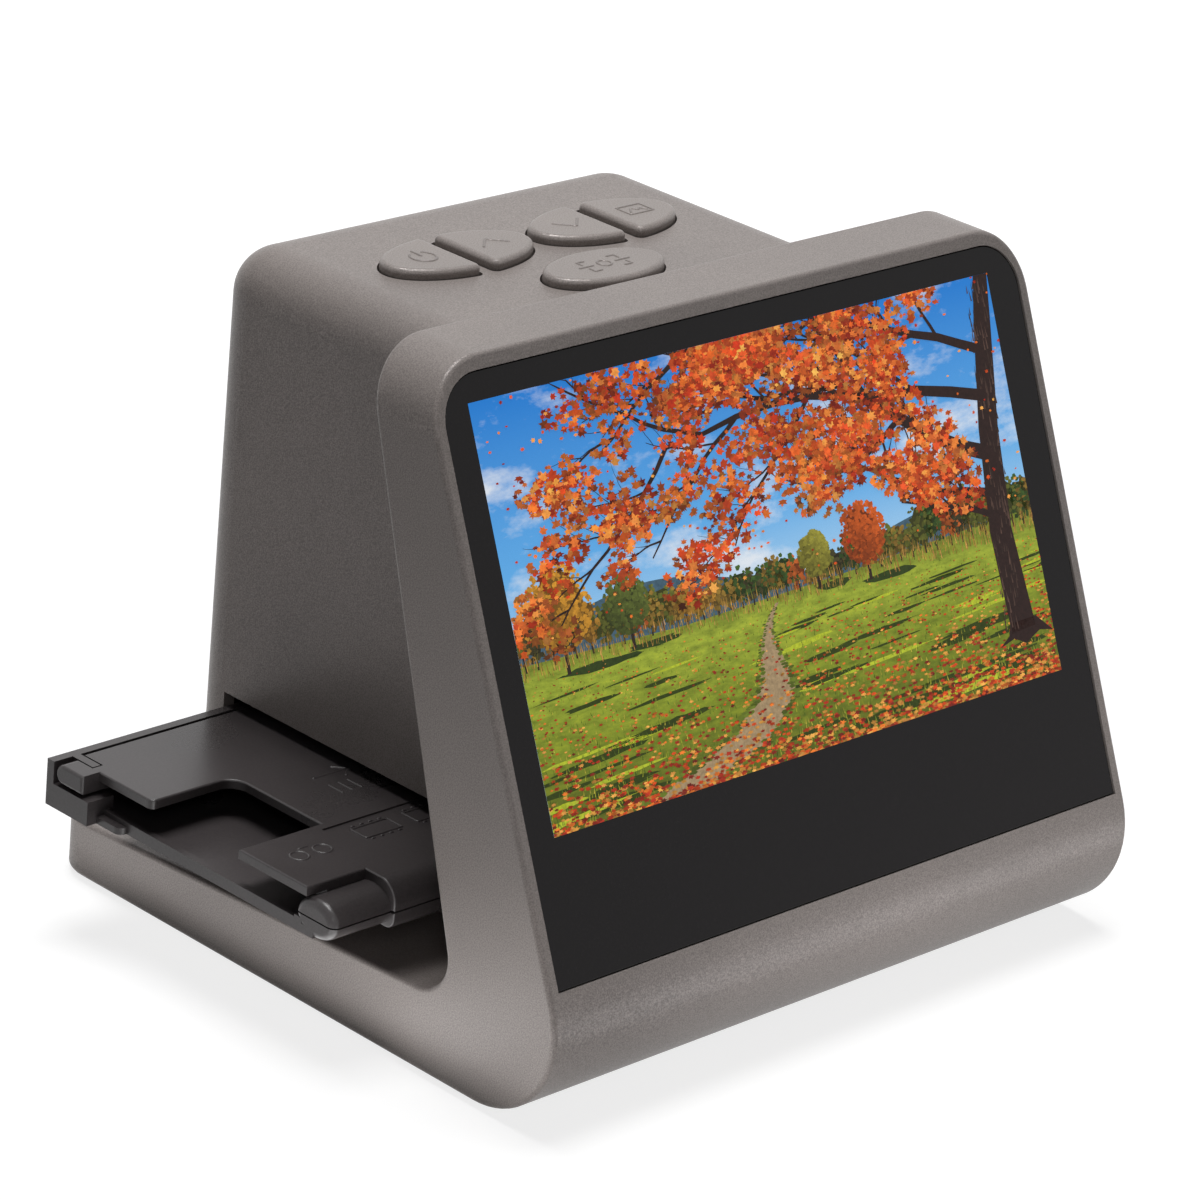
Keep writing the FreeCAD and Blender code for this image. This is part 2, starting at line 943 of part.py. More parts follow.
def switch_point(name):
    reach = (pair_split / 2 + pair_half_width) / 2
    places = {
        "power_button": (-pair_x - reach, pair_y),
        "up_button": (-pair_x + reach, pair_y),
        "down_button": (pair_x - reach, pair_y),
        "view_button": (pair_x + reach, pair_y),
        "scan_button": (0, scan_y),
    }
    x, y = places[name]
    return V(x, y, tower_height - button_board_drop - tower_wall)


button_names = ["power_button", "up_button", "down_button", "view_button", "scan_button"]


def switch_top():
    return tower_height - button_board_drop - tower_wall + switch_height


def button_cap(name):
    flange_top = tower_ceiling - button_flange_gap
    flange_bottom = flange_top - button_flange_height
    cap = button_solids(0, flange_bottom, tower_height + button_rise)[name]
    rim = [edge for edge in cap.Edges if edge.BoundBox.ZMin > tower_height]
    cap = cap.makeFillet(button_round, rim)
    flange = button_solids(button_flange, flange_bottom, flange_top)[name]
    point = switch_point(name)
    stem_bottom = switch_top() + plunger_rise
    stem = rod(
        button_stem_radius, V(point.x, point.y, stem_bottom), flange_bottom - stem_bottom, Z_AXIS,
    )
    return fused([cap, flange, stem])


def switch_plunger(name):
    point = switch_point(name)
    start = switch_top() - plunger_sink
    return rod(plunger_radius, V(point.x, point.y, start), plunger_sink + plunger_rise, Z_AXIS)


def button_switches():
    placed = []
    for name in button_names:
        point = switch_point(name)
        half = switch_size / 2
        body = box(
            point.x - half, point.x + half, point.y - half, point.y + half, point.z, switch_top(),
        )
        bore = rod(
            plunger_radius + plunger_gap, V(point.x, point.y, switch_top() - switch_bore_depth),
            switch_bore_depth, Z_AXIS,
        )
        placed.append(body.cut(bore))
    return placed


def button_board_points():
    z = tower_height - button_board_drop - tower_wall
    points = []
    for side in (-1, 1):
        for y in (button_boss_front, button_boss_back):
            points.append(V(side * button_boss_side, y, z))
    return points


def button_board():
    top = tower_height - button_board_drop - tower_wall
    board = box(
        -button_board_half_width, button_board_half_width,
        button_board_front, button_board_back,
        top - board_thickness, top,
    )
    holes = []
    for point in button_board_points():
        holes.append(screw_hole(V(point.x, point.y, top - board_thickness), Z_AXIS, board_thickness))
    return board.cut(holes)


def button_board_screws():
    drop = V(0, 0, -board_thickness)
    return [screw_at(point + drop, Z_AXIS, short_screw_length) for point in button_board_points()]


# Sockets

def port_board_back():
    return tower_inner_back - port_gap


def port_ledge():
    z1 = port_board_height
    return box(
        tower_inner_half - port_ledge_width, tower_half - tower_wall / 2,
        tower_inner_back - port_ledge_depth, tower_inner_back + tower_wall / 2,
        z1 - port_ledge_height, z1,
    )


def port_screw_points():
    x = (tower_inner_half - port_ledge_width + port_board_half_width) / 2
    y = tower_inner_back - port_ledge_depth / 2
    return [V(side * x, y, port_board_height) for side in (-1, 1)]


def port_board():
    back = port_board_back()
    z = port_board_height
    half = port_board_half_width
    board = box(-half, half, back - port_board_depth, back, z, z + board_thickness)
    return board.cut([screw_hole(point, Z_AXIS, board_thickness) for point in port_screw_points()])


def port_board_screws():
    lift = V(0, 0, board_thickness)
    return [screw_at(point + lift, DOWN, short_screw_length) for point in port_screw_points()]


def socket(x, width, height, depth, mouth):
    z = port_board_height + board_thickness
    back = tower_inner_back + tower_wall / 2
    shell = box(x - width / 2, x + width / 2, back - depth, back, z, z + height)
    inner = width / 2 - socket_wall
    hollow = box(x - inner, x + inner, back - mouth, back, z + socket_wall, z + height - socket_wall)
    middle = z + height / 2
    tongue = box(
        x - inner / 2, x + inner / 2, back - mouth - socket_wall, back - socket_wall,
        middle - tongue_height / 2, middle + tongue_height / 2,
    )
    return shell.cut(hollow).fuse(tongue).removeSplitter()


def port_openings():
    z = port_board_height + board_thickness
    cuts = []
    for x, width, height in (
        (usb_x, usb_width, usb_height),
        (hdmi_x, hdmi_width, hdmi_height),
        (card_x, card_width, card_height),
    ):
        half = width / 2 + port_gap
        cuts.append(box(
            x - half, x + half, tower_inner_back - port_gap, tower_back_y + overrun,
            z - port_gap, z + height + port_gap,
        ))
    return cuts


# Film gate

def gate_plate(z0, z1):
    return plan_prism(
        rectangle(-gate_half, gate_half, gate_front, gate_back, 0, gate_corner_radius), z0, z1,
    )


def lower_guide():
    plate = gate_plate(gate_top - lower_guide_thickness, gate_top)
    window = film_opening(light_window, gate_top - lower_guide_thickness, gate_top)
    parts = [plate.cut(window)]
    for side in (-1, 1):
        for y0 in (gate_front, gate_back - gate_post):
            x = side * gate_post_side
            half = gate_post / 2
            parts.append(
                box(
                    x - half, x + half, y0, y0 + gate_post, gate_top - lower_guide_thickness,
                    upper_guide_z,
                )
            )
    room = tower_room()
    for side in (-1, 1):
        for y0 in (
            gate_front + 2 * boss_radius + gate_post,
            gate_back - gate_post - 2 * boss_radius - leg_width - gate_post,
        ):
            x = side * leg_side
            half = leg_width / 2
            leg = box(
                x - half, x + half, y0, y0 + leg_width, bottom_z, gate_top - lower_guide_thickness,
            )
            parts.append(leg.common(room))
    holes = []
    for point in gate_screw_points():
        seat = V(point.x, point.y, upper_guide_top - short_screw_length)
        holes.append(screw_hole(seat, Z_AXIS, short_screw_length))
    holes.append(screw_hole(detent_screw_point(), Y_AXIS, gate_post))
    return fused(parts).cut(holes)


def film_opening(size, z0, z1):
    half = size / 2
    return box(-half, half, film_window_centre - half, film_window_centre + half, z0, z1)


def gate_screw_points():
    points = []
    for side in (-1, 1):
        for y in (gate_front + gate_post / 2, gate_back - gate_post / 2):
            points.append(V(side * gate_post_side, y, upper_guide_top))
    return points


def upper_guide():
    plate = gate_plate(upper_guide_z, upper_guide_top)
    holes = [
        screw_hole(point - V(0, 0, upper_guide_thickness), Z_AXIS, upper_guide_thickness)
        for point in gate_screw_points()
    ]
    for point in hood_screw_points():
        holes.append(screw_hole(point - V(0, 0, upper_guide_thickness), Z_AXIS, upper_guide_thickness))
    window = film_opening(camera_window, upper_guide_z, upper_guide_top)
    return plate.cut([window] + holes)


def gate_screws():
    return [screw_at(point, DOWN, short_screw_length) for point in gate_screw_points()]


def detent_screw_point():
    y = gate_back - gate_post
    return V(gate_post_side, y, (gate_top + upper_guide_z) / 2)


def detent_spring():
    point = detent_screw_point()
    y1 = point.y
    y0 = y1 - detent_thickness
    z0 = point.z - detent_width / 2
    z1 = point.z + detent_width / 2
    strip = box(-detent_reach, point.x + gate_post / 2, y0, y1, z0, z1)
    centre = V(0, y0 - detent_bump + detent_bump_radius, z0)
    bump = rod(detent_bump_radius, centre, detent_width, Z_AXIS)
    ahead = box(-detent_bump_radius, detent_bump_radius, y0 - overrun, y1, z0, z1)
    bump = bump.common(ahead)
    return fused([strip, bump]).cut(
        screw_hole(point - Y_AXIS * detent_thickness, Y_AXIS, detent_thickness)
    )


def detent_screw():
    point = detent_screw_point() - Y_AXIS * detent_thickness
    return screw_at(point, Y_AXIS, short_screw_length)


# Light box

def light_board_points():
    reach = light_box_half + light_board_margin
    points = []
    for side in (-1, 1):
        for end in (-1, 1):
            points.append(
                V(
                    side * (reach - light_screw_side),
                    film_window_centre + end * (reach - light_screw_side), 0,
                )
            )
    return points


def light_board_z():
    return cover_floor + light_post_height


def light_board():
    reach = light_box_half + light_board_margin
    z = light_board_z()
    board = box(
        -reach, reach, film_window_centre - reach, film_window_centre + reach, z,
        z + board_thickness,
    )
    return board.cut(
        [screw_hole(V(point.x, point.y, z), Z_AXIS, board_thickness) for point in light_board_points()]
    )


def light_lamps():
    z = light_board_z() + board_thickness
    half = lamp_size / 2
    lamps = []
    for row in range(lamp_rows):
        for column in range(lamp_rows):
            x = (column - (lamp_rows - 1) / 2) * lamp_pitch
            y = film_window_centre + (row - (lamp_rows - 1) / 2) * lamp_pitch
            lamps.append(box(x - half, x + half, y - half, y + half, z, z + lamp_height))
    return lamps


def light_box():
    z0 = light_board_z() + board_thickness
    z1 = gate_top - lower_guide_thickness
    half = light_box_half
    c = film_window_centre
    outer = box(-half, half, c - half, c + half, z0, z1)
    inner = half - light_box_wall
    hollow = box(-inner, inner, c - inner, c + inner, z0, z1)
    tube = outer.cut(hollow)
    for point in light_board_points():
        corner = rod(
            screw_head_radius + screw_gap * 2, V(point.x, point.y, z0),
            screw_head_height + screw_gap, Z_AXIS,
        )
        tube = tube.cut(corner)
    return tube


def light_board_screws():
    z = light_board_z() + board_thickness
    return [
        screw_at(V(point.x, point.y, z), DOWN, short_screw_length)
        for point in light_board_points()
    ]


def diffuser():
    half = light_window / 2 - diffuser_gap
    top = gate_top - diffuser_drop
    plate = box(
        -half, half, film_window_centre - half, film_window_centre + half,
        top - diffuser_thickness, top,
    )
    rim_half = light_box_half - light_box_wall - diffuser_gap
    rim_top = gate_top - lower_guide_thickness
    rim = box(
        -rim_half, rim_half, film_window_centre - rim_half, film_window_centre + rim_half,
        rim_top - diffuser_thickness, rim_top,
    )
    core = box(-half, half, film_window_centre - half, film_window_centre + half, rim_top, top)
    return fused([plate, rim, core])


# Camera

def hood_corners(half, z):
    c = film_window_centre
    points = [V(-half, c - half, z), V(half, c - half, z), V(half, c + half, z), V(-half, c + half, z)]
    return Part.makePolygon(points + [points[0]])


def hood_screw_points():
    reach = hood_bottom_half + hood_flange / 2
    return [
        V(side * reach, film_window_centre + end * reach, upper_guide_top)
        for side in (-1, 1)
        for end in (-1, 1)
    ]


def camera_hood():
    z0 = upper_guide_top
    z1 = z0 + hood_height
    outer = Part.makeLoft(
        [hood_corners(hood_bottom_half, z0), hood_corners(hood_top_half + hood_wall, z1)], True,
    )
    inner = Part.makeLoft([
        hood_corners(hood_bottom_half - hood_wall, z0),
        hood_corners(hood_top_half, z1),
    ], True)
    reach = hood_bottom_half + hood_flange
    c = film_window_centre
    flange = box(-reach, reach, c - reach, c + reach, z0, z0 + hood_flange_thickness)
    head = box(
        -holder_half, holder_half, c - holder_half, c + holder_half, z1 - hood_flange_thickness,
        z1,
    )
    holes = [screw_hole(point, Z_AXIS, hood_flange_thickness) for point in hood_screw_points()]
    for point in holder_screw_points():
        holes.append(screw_hole(point - V(0, 0, hood_flange_thickness), Z_AXIS, hood_flange_thickness))
    return fused([outer, flange, head]).cut([inner] + holes)


def hood_screws():
    lift = V(0, 0, hood_flange_thickness)
    return [
        screw_at(point + lift, DOWN, hood_flange_thickness + upper_guide_thickness)
        for point in hood_screw_points()
    ]


def holder_bottom():
    return upper_guide_top + hood_height


def holder_screw_points():
    return [V(side * camera_post_side, film_window_centre + end * camera_post_side, holder_bottom())
            for side in (-1, 1) for end in (-1, 1)]


def lens_holder():
    z = holder_bottom()
    c = film_window_centre
    plate = box(-holder_half, holder_half, c - holder_half, c + holder_half, z, z + holder_thickness)
    parts = [plate]
    holes = [rod(barrel_radius + barrel_gap, V(0, c, z), holder_thickness, Z_AXIS)]
    for point in holder_screw_points():
        height = holder_thickness + camera_post_height
        parts.append(rod(camera_post_radius, point, height, Z_AXIS))
        holes.append(screw_hole(point, Z_AXIS, height))
    return fused(parts).cut(holes)


def lens_barrel():
    z = holder_bottom()
    c = film_window_centre
    length = barrel_below + holder_thickness + barrel_above
    tube = rod(barrel_radius, V(0, c, z - barrel_below), length, Z_AXIS)
    collar_height = barrel_above / 2
    collar = rod(barrel_radius + collar_height, V(0, c, z + holder_thickness), collar_height, Z_AXIS)
    bore = rod(barrel_bore, V(0, c, z - barrel_below), length, Z_AXIS)
    return fused([tube, collar]).cut(bore)


def lens_glass():
    z = holder_bottom() - barrel_below + lens_lift
    c = film_window_centre
    body = rod(barrel_bore, V(0, c, z), lens_thickness, Z_AXIS)
    dome_radius = (barrel_bore ** 2 + lens_dome ** 2) / (2 * lens_dome)
    ball = Part.makeSphere(dome_radius, V(0, c, z - lens_dome + dome_radius))
    dome = ball.common(rod(barrel_bore, V(0, c, z - lens_dome), lens_dome, Z_AXIS))
    return fused([body, dome])


def camera_board_z():
    return holder_bottom() + holder_thickness + camera_post_height


def camera_board():
    z = camera_board_z()
    c = film_window_centre
    half = camera_board_half
    board = box(-half, half, c - half, c + half, z, z + board_thickness)
    return board.cut(
        [screw_hole(V(point.x, point.y, z), Z_AXIS, board_thickness) for point in holder_screw_points()]
    )


def image_sensor():
    z = camera_board_z()
    c = film_window_centre
    return box(-sensor_half, sensor_half, c - sensor_half, c + sensor_half, z - sensor_height, z)


def camera_screws():
    z = camera_board_z() + board_thickness
    return [screw_at(V(point.x, point.y, z), DOWN, screw_length) for point in holder_screw_points()]


# Film tray

def grip_half_moon(upper, x0, x1):
    grip = Part.Ellipse(V(0, 0, 0), grip_half_depth, grip_half_height).toShape()
    solid = Part.Face(Part.Wire([grip])).extrude(Z_AXIS * (x1 - x0))
    turn = FreeCAD.Rotation(Y_AXIS, Z_AXIS, X_AXIS, "ZXY")
    solid.Placement = FreeCAD.Placement(V(x0, grip_centre, bar_split), turn)
    far = 2 * grip_half_depth
    half_gap = split_gap / 2
    if upper:
        keep = box(x0, x1, grip_centre - far, grip_centre + far, bar_split + half_gap, bar_split + far)
    else:
        keep = box(x0, x1, grip_centre - far, grip_centre + far, bar_split - far, bar_split - half_gap)
    moon = solid.common(keep)
    rounded = [edge for edge in end_edges(moon, x1) if len(edge.Vertexes) < 2 or is_curved(edge)]
    return moon.makeFillet(grip_end_round, rounded)


def is_curved(edge):
    straight = (edge.Vertexes[0].Point - edge.Vertexes[-1].Point).Length
    return edge.Length - straight > tray_edge_round / 2


def bar_solid(upper):
    y0 = tray_front
    y1 = tray_front + bar_depth
    half_gap = split_gap / 2
    if upper:
        corners = [
            (y0, bar_split + half_gap, 0),
            (y1, bar_split + half_gap, 0),
            (y1, lid_top, 0),
            (y0, lid_top, bar_radius),
        ]
    else:
        corners = [
            (y0, tray_bottom, bar_radius / 2),
            (y1, tray_bottom, 0),
            (y1, bar_split - half_gap, 0),
            (y0, bar_split - half_gap, 0),
        ]
    bar = side_prism(corners, bar_half_length)
    return bar.makeFillet(
        tray_edge_round, end_edges(bar, bar_half_length) + end_edges(bar, -bar_half_length),
    )


def magnet_points():
    x = bar_half_length - magnet_side
    y = tray_front + bar_depth / 2
    return [V(side * x, y, bar_split) for side in (-1, 1)]


def tray_window():
    half_x = film_window_width / 2
    half_y = film_window_depth / 2
    c = film_window_centre
    return box(-half_x, half_x, c - half_y, c + half_y, tray_bottom - overrun, lid_top + overrun)


def tray_cheek():
    x1 = tray_half - cheek_gap
    return box(x1 - cheek_thickness, x1, neck_back + cheek_gap, tray_back, tray_bottom, lid_top)


def tray_ear():
    x0 = tray_half - cheek_gap
    x1 = tray_half + ear_reach
    leg = box(x0 - cheek_thickness, x1, ear_front, tray_back, tray_bottom, tray_bottom + ear_leg_height)
    post = box(x0, x1, tray_back - tray_rear_wall, tray_back, tray_bottom, lid_top)
    tab_start = ear_front - ear_tab_length
    tab_end = tray_half + ear_tab_reach
    corners = [
        (x0 - cheek_thickness, tab_start, 0),
        (tab_end, tab_start, ear_tab_round),
        (tab_end, ear_front, 0),
        (x0 - cheek_thickness, ear_front, 0),
    ]
    tab = plan_prism(corners, tray_bottom, tray_bottom + ear_tab_height)
    return [leg, post, tab]


def hinge_pin_solid(radius, x0, x1):
    return rod(radius, V(x0, hinge_y, hinge_z()), x1 - x0, X_AXIS)


def hinge_z():
    return lid_top - knuckle_height / 2


def pin_end():
    return tray_half + ear_reach - pin_cap


def tray_base():
    floor = box(-tray_half, tray_half, tray_front + bar_depth, tray_back, tray_bottom, tray_floor_z)
    rear = box(-tray_half, tray_half, tray_back - tray_rear_wall, tray_back, tray_bottom, lid_top)
    lip = box(
        tray_half - tray_lip_width, tray_half, tray_front + bar_depth, ear_front,
        tray_bottom, tray_floor_z + tray_end_lip,
    )
    end_floor = box(
        bar_half_length, tray_half, grip_centre, tray_front + bar_depth + overrun / 10,
        tray_bottom, tray_floor_z,
    )
    lip_post = box(
        tray_half - lip_post_width, tray_half,
        tray_front + bar_depth - lip_post_depth, tray_front + bar_depth,
        tray_bottom, tray_bottom + lip_post_height,
    )
    grip = grip_half_moon(False, bar_half_length, tray_half)
    ends = [lip, end_floor, lip_post, grip, tray_cheek()] + tray_ear()
    parts = [floor, rear, bar_solid(False)] + both_sides(ends)
    cuts = [tray_window()]
    for point in magnet_points():
        cuts.append(rod(magnet_radius, point - V(0, 0, split_gap / 2), magnet_height, DOWN))
    pin_hole = hinge_pin_solid(
        pin_radius, tray_half - cheek_gap - cheek_thickness, tray_half - cheek_gap,
    )
    cuts += both_sides([pin_hole])
    middle = (gate_top + upper_guide_z) / 2
    notch = box(
        -detent_bump_radius, detent_bump_radius, tray_back - detent_depth, tray_back,
        middle - detent_width, middle + detent_width / 2 + lid_gap,
    )
    cuts.append(notch)
    return fused(parts).cut(cuts)


def lid_plate():
    front = lid_front_edge
    back = lid_back
    half = tray_half
    inner = half - notch_depth
    right = [
        (half, front, 0),
        (half, notch_front, 0),
        (inner, notch_front, 0),
        (inner, notch_back, notch_inner_radius),
        (half, notch_back, notch_outer_radius),
        (half, back, 0),
    ]
    left = [(-x, y, radius) for x, y, radius in reversed(right)]
    plate = plan_prism(right + left, lid_bottom, lid_top)
    return plate.makeFillet(tray_edge_round, edges_above(plate, lid_bottom))


def lid_knuckle():
    x0 = tray_half
    x1 = tray_half + ear_reach
    z0 = lid_top - knuckle_height
    corners = [
        (knuckle_front, z0, 0),
        (lid_back, z0, knuckle_radius),
        (lid_back, lid_top, knuckle_radius),
        (knuckle_front, lid_top, 0),
    ]
    block = outline(corners, V(x0, 0, 0), Y_AXIS, Z_AXIS).extrude(X_AXIS * (x1 - x0))
    block = block.makeFillet(knuckle_round, end_edges(block, x1))
    neck_x = tray_half - 2 * cheek_gap - cheek_thickness
    neck = box(neck_x, x1 - knuckle_round, knuckle_front, neck_back, z0, lid_top)
    return [block, neck]


def tray_lid():
    grip = grip_half_moon(True, bar_half_length, tray_half)
    web = box(
        bar_half_length, tray_half - grip_web_inset, lid_front_edge, tray_front + bar_depth,
        bar_split + grip_half_height / 2, lid_bottom,
    )
    parts = [lid_plate(), bar_solid(True)] + both_sides([grip, web] + lid_knuckle())
    half = tray_half - 2 * cheek_gap - cheek_thickness
    cheek_room = box(
        half, tray_half, neck_back, lid_back + overrun, lid_bottom - overrun / 10,
        lid_top + overrun,
    )
    label = box(
        -label_half_length, label_half_length, label_front, label_back, lid_top - label_depth,
        lid_top + overrun,
    )
    pin_room = hinge_pin_solid(pin_radius + pin_gap, tray_half, pin_end() + pin_gap)
    cuts = [tray_window(), label] + both_sides([cheek_room, pin_room])
    for point in magnet_points():
        cuts.append(rod(magnet_radius, point + V(0, 0, split_gap / 2), magnet_height, Z_AXIS))
    return fused(parts).cut(cuts)


def hinge_pins():
    x0 = tray_half - cheek_gap - cheek_thickness
    return both_sides([hinge_pin_solid(pin_radius, x0, pin_end())])


def base_magnets():
    return [
        rod(magnet_radius, point - V(0, 0, split_gap / 2), magnet_height, DOWN)
        for point in magnet_points()
    ]


def lid_magnets():
    return [
        rod(magnet_radius, point + V(0, 0, split_gap / 2), magnet_height, Z_AXIS)
        for point in magnet_points()
    ]


# Writing the pieces

def write(name, shapes):
    solids = shapes if isinstance(shapes, list) else [shapes]
    shape = solids[0] if len(solids) == 1 else Part.makeCompound(solids)
    shape.exportStep(os.path.join("parts", name + ".step"))


def all_pieces():
    pieces = {
        "main_housing": main_housing(),
        "screen_cover": screen_cover(),
        "display_panel": display_panel(),
        "display_bracket": display_bracket(),
        "display_ribbon": display_ribbon(),
        "panel_screws": panel_screws(),
        "main_board": main_board(),
        "main_board_chips": main_board_chips(),
        "main_board_screws": main_board_screws(),
        "bottom_cover": bottom_cover(),
        "rubber_feet": rubber_feet(),
        "casing_screws": casing_screws(),
        "tower_cover": tower_cover(),
        "tower_screws": tower_screws(),
        "button_board": button_board(),
        "button_board_screws": button_board_screws(),
        "button_switches": button_switches(),
        "port_board": port_board(),
        "port_board_screws": port_board_screws(),
        "usb_socket": socket(usb_x, usb_width, usb_height, socket_depth, socket_hollow),
        "hdmi_socket": socket(hdmi_x, hdmi_width, hdmi_height, socket_depth, socket_hollow),
        "card_socket": socket(
            card_x, card_width, card_height, card_depth, card_depth - socket_depth / 4,
        ),
        "lower_guide": lower_guide(),
        "upper_guide": upper_guide(),
        "gate_screws": gate_screws(),
        "detent_spring": detent_spring(),
        "detent_screw": detent_screw(),
        "light_board": light_board(),
        "light_lamps": light_lamps(),
        "light_board_screws": light_board_screws(),
        "light_box": light_box(),
        "diffuser": diffuser(),
        "camera_hood": camera_hood(),
        "hood_screws": hood_screws(),
        "lens_holder": lens_holder(),
        "lens_barrel": lens_barrel(),
        "lens_glass": lens_glass(),
        "camera_board": camera_board(),
        "image_sensor": image_sensor(),
        "camera_screws": camera_screws(),
        "tray_base": tray_base(),
        "tray_lid": tray_lid(),
        "hinge_pins": hinge_pins(),
        "base_magnets": base_magnets(),
        "lid_magnets": lid_magnets(),
    }
    for name in button_names:
        pieces[name] = button_cap(name)
        pieces[name.replace("button", "plunger")] = switch_plunger(name)
    return pieces


os.makedirs("parts", exist_ok=True)
for piece_name, piece in all_pieces().items():
    write(piece_name, piece)
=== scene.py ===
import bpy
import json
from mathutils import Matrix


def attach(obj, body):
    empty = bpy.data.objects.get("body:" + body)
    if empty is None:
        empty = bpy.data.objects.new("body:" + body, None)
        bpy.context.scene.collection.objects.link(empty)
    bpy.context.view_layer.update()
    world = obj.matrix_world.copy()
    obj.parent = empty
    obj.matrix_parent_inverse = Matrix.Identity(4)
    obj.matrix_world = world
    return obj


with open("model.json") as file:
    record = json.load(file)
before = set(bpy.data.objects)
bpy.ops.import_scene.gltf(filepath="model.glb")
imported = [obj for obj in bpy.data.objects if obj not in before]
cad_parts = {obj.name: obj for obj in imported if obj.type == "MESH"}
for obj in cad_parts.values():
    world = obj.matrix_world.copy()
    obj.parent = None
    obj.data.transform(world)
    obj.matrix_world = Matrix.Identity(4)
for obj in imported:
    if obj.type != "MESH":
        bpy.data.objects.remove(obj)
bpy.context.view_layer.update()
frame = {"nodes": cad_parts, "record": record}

import json
import math
import random
import bpy
from mathutils import Matrix, Vector

nodes = frame["nodes"]
MM = 0.001


# Shader helper. Colours are linear, and places in shaders are in metres.

noise_low, noise_high = 0.3, 0.7  # most values of a noise lie between these


class Shader:
    """A node material with short calls for the nodes used here."""

    def __init__(self, name):
        self.material = bpy.data.materials.new(name)
        self.material.use_nodes = True
        self.tree = self.material.node_tree
        self.main = self.tree.nodes["Principled BSDF"]
        self.place = self.tree.nodes.new("ShaderNodeTexCoord").outputs["Object"]

    def set(self, **values):
        for name, value in values.items():
            self.main.inputs[name.replace("_", " ")].default_value = value
        return self

    def link(self, source, target):
        self.tree.links.new(source, target)

    def stretched(self, scale, turn=(0, 0, 0)):
        node = self.tree.nodes.new("ShaderNodeMapping")
        node.inputs["Scale"].default_value = scale
        node.inputs["Rotation"].default_value = turn
        self.link(self.place, node.inputs["Vector"])
        return node.outputs["Vector"]

    def noise(self, scale, detail=2.0, rough=0.5, vector=None):
        node = self.tree.nodes.new("ShaderNodeTexNoise")
        node.inputs["Scale"].default_value = scale
        node.inputs["Detail"].default_value = detail
        node.inputs["Roughness"].default_value = rough
        self.link(vector or self.place, node.inputs["Vector"])
        return node.outputs["Fac"]

    def cells(self, scale, vector=None):
        node = self.tree.nodes.new("ShaderNodeTexVoronoi")
        node.inputs["Scale"].default_value = scale
        self.link(vector or self.place, node.inputs["Vector"])
        return node.outputs["Distance"]

    def bricks(self, scale, vector, light, dark, gap):
        node = self.tree.nodes.new("ShaderNodeTexBrick")
        node.inputs["Scale"].default_value = scale
        node.inputs["Color1"].default_value = light
        node.inputs["Color2"].default_value = light
        node.inputs["Mortar"].default_value = dark
        node.inputs["Mortar Size"].default_value = gap
        self.link(vector, node.inputs["Vector"])
        return node.outputs["Color"]

    def ramp(self, source, stops):
        node = self.tree.nodes.new("ShaderNodeValToRGB")
        elements = node.color_ramp.elements
        while len(elements) < len(stops):
            elements.new(0.5)
        for element, (place, colour) in zip(elements, stops):
            element.position = place
            element.color = (*colour, 1.0)
        self.link(source, node.inputs["Fac"])
        return node.outputs["Color"]

    def range(self, source, low, high, to_low=0.0, to_high=1.0):
        node = self.tree.nodes.new("ShaderNodeMapRange")
        node.inputs["From Min"].default_value = low
        node.inputs["From Max"].default_value = high
        node.inputs["To Min"].default_value = to_low
        node.inputs["To Max"].default_value = to_high
        self.link(source, node.inputs["Value"])
        return node.outputs["Result"]

    def mix(self, share, first, second, kind="MIX"):
        node = self.tree.nodes.new("ShaderNodeMix")
        node.data_type = "RGBA"
        node.blend_type = kind
        sockets = [s for s in node.inputs if s.enabled]
        for socket, value in zip(sockets, (share, first, second)):
            if isinstance(value, bpy.types.NodeSocket):
                self.link(value, socket)
            else:
                socket.default_value = value
        return [s for s in node.outputs if s.enabled][0]

    def sum(self, first, second, first_share=1.0, second_share=1.0):
        total = None
        for source, share in ((first, first_share), (second, second_share)):
            node = self.tree.nodes.new("ShaderNodeMath")
            node.operation = "MULTIPLY_ADD"
            self.link(source, node.inputs[0])
            node.inputs[1].default_value = share
            node.inputs[2].default_value = 0.0
            if total is not None:
                self.link(total, node.inputs[2])
            total = node.outputs[0]
        return total

    def bump(self, height, strength, distance):
        node = self.tree.nodes.new("ShaderNodeBump")
        node.inputs["Strength"].default_value = strength
        node.inputs["Distance"].default_value = distance
        self.link(height, node.inputs["Height"])
        self.link(node.outputs["Normal"], self.main.inputs["Normal"])

    def colour(self, source):
        self.link(source, self.main.inputs["Base Color"])

    def rough(self, source, low, high):
        level = self.range(source, noise_low, noise_high, low, high)
        self.link(level, self.main.inputs["Roughness"])


# Materials of the casing, the tray and the inner parts. dark and light are a material's colours where
# its noise is low and where it is high, and rough holds its roughness at the same two places.

def paint(name, dark, light, rough):
    """Plastic with a metallic paint: fine bright flakes, a faint cloudiness and a satin skin."""
    shader = Shader(name).set(Specular_IOR_Level=0.22, Coat_Weight=0.06, Coat_Roughness=0.24)
    flakes = shader.noise(scale=4600, detail=2.0, rough=0.6)
    clouds = shader.noise(scale=45, detail=3.0)
    base = shader.ramp(flakes, [(0.36, dark), (0.64, light)])
    dull, bright = (0.95, 0.95, 0.95), (1.04, 1.035, 1.03)
    tint = shader.ramp(clouds, [(noise_low, dull), (noise_high, bright)])
    shader.colour(shader.mix(1.0, base, tint, "MULTIPLY"))
    metal = shader.range(flakes, 0.50, 0.66, to_low=0.0, to_high=0.30)
    shader.link(metal, shader.main.inputs["Metallic"])
    shader.rough(flakes, *rough)
    ripple = shader.noise(scale=1500, detail=1.0)
    height = shader.sum(flakes, ripple, first_share=1.0, second_share=0.5)
    shader.bump(height, strength=0.07, distance=0.03 * MM)
    return shader.material


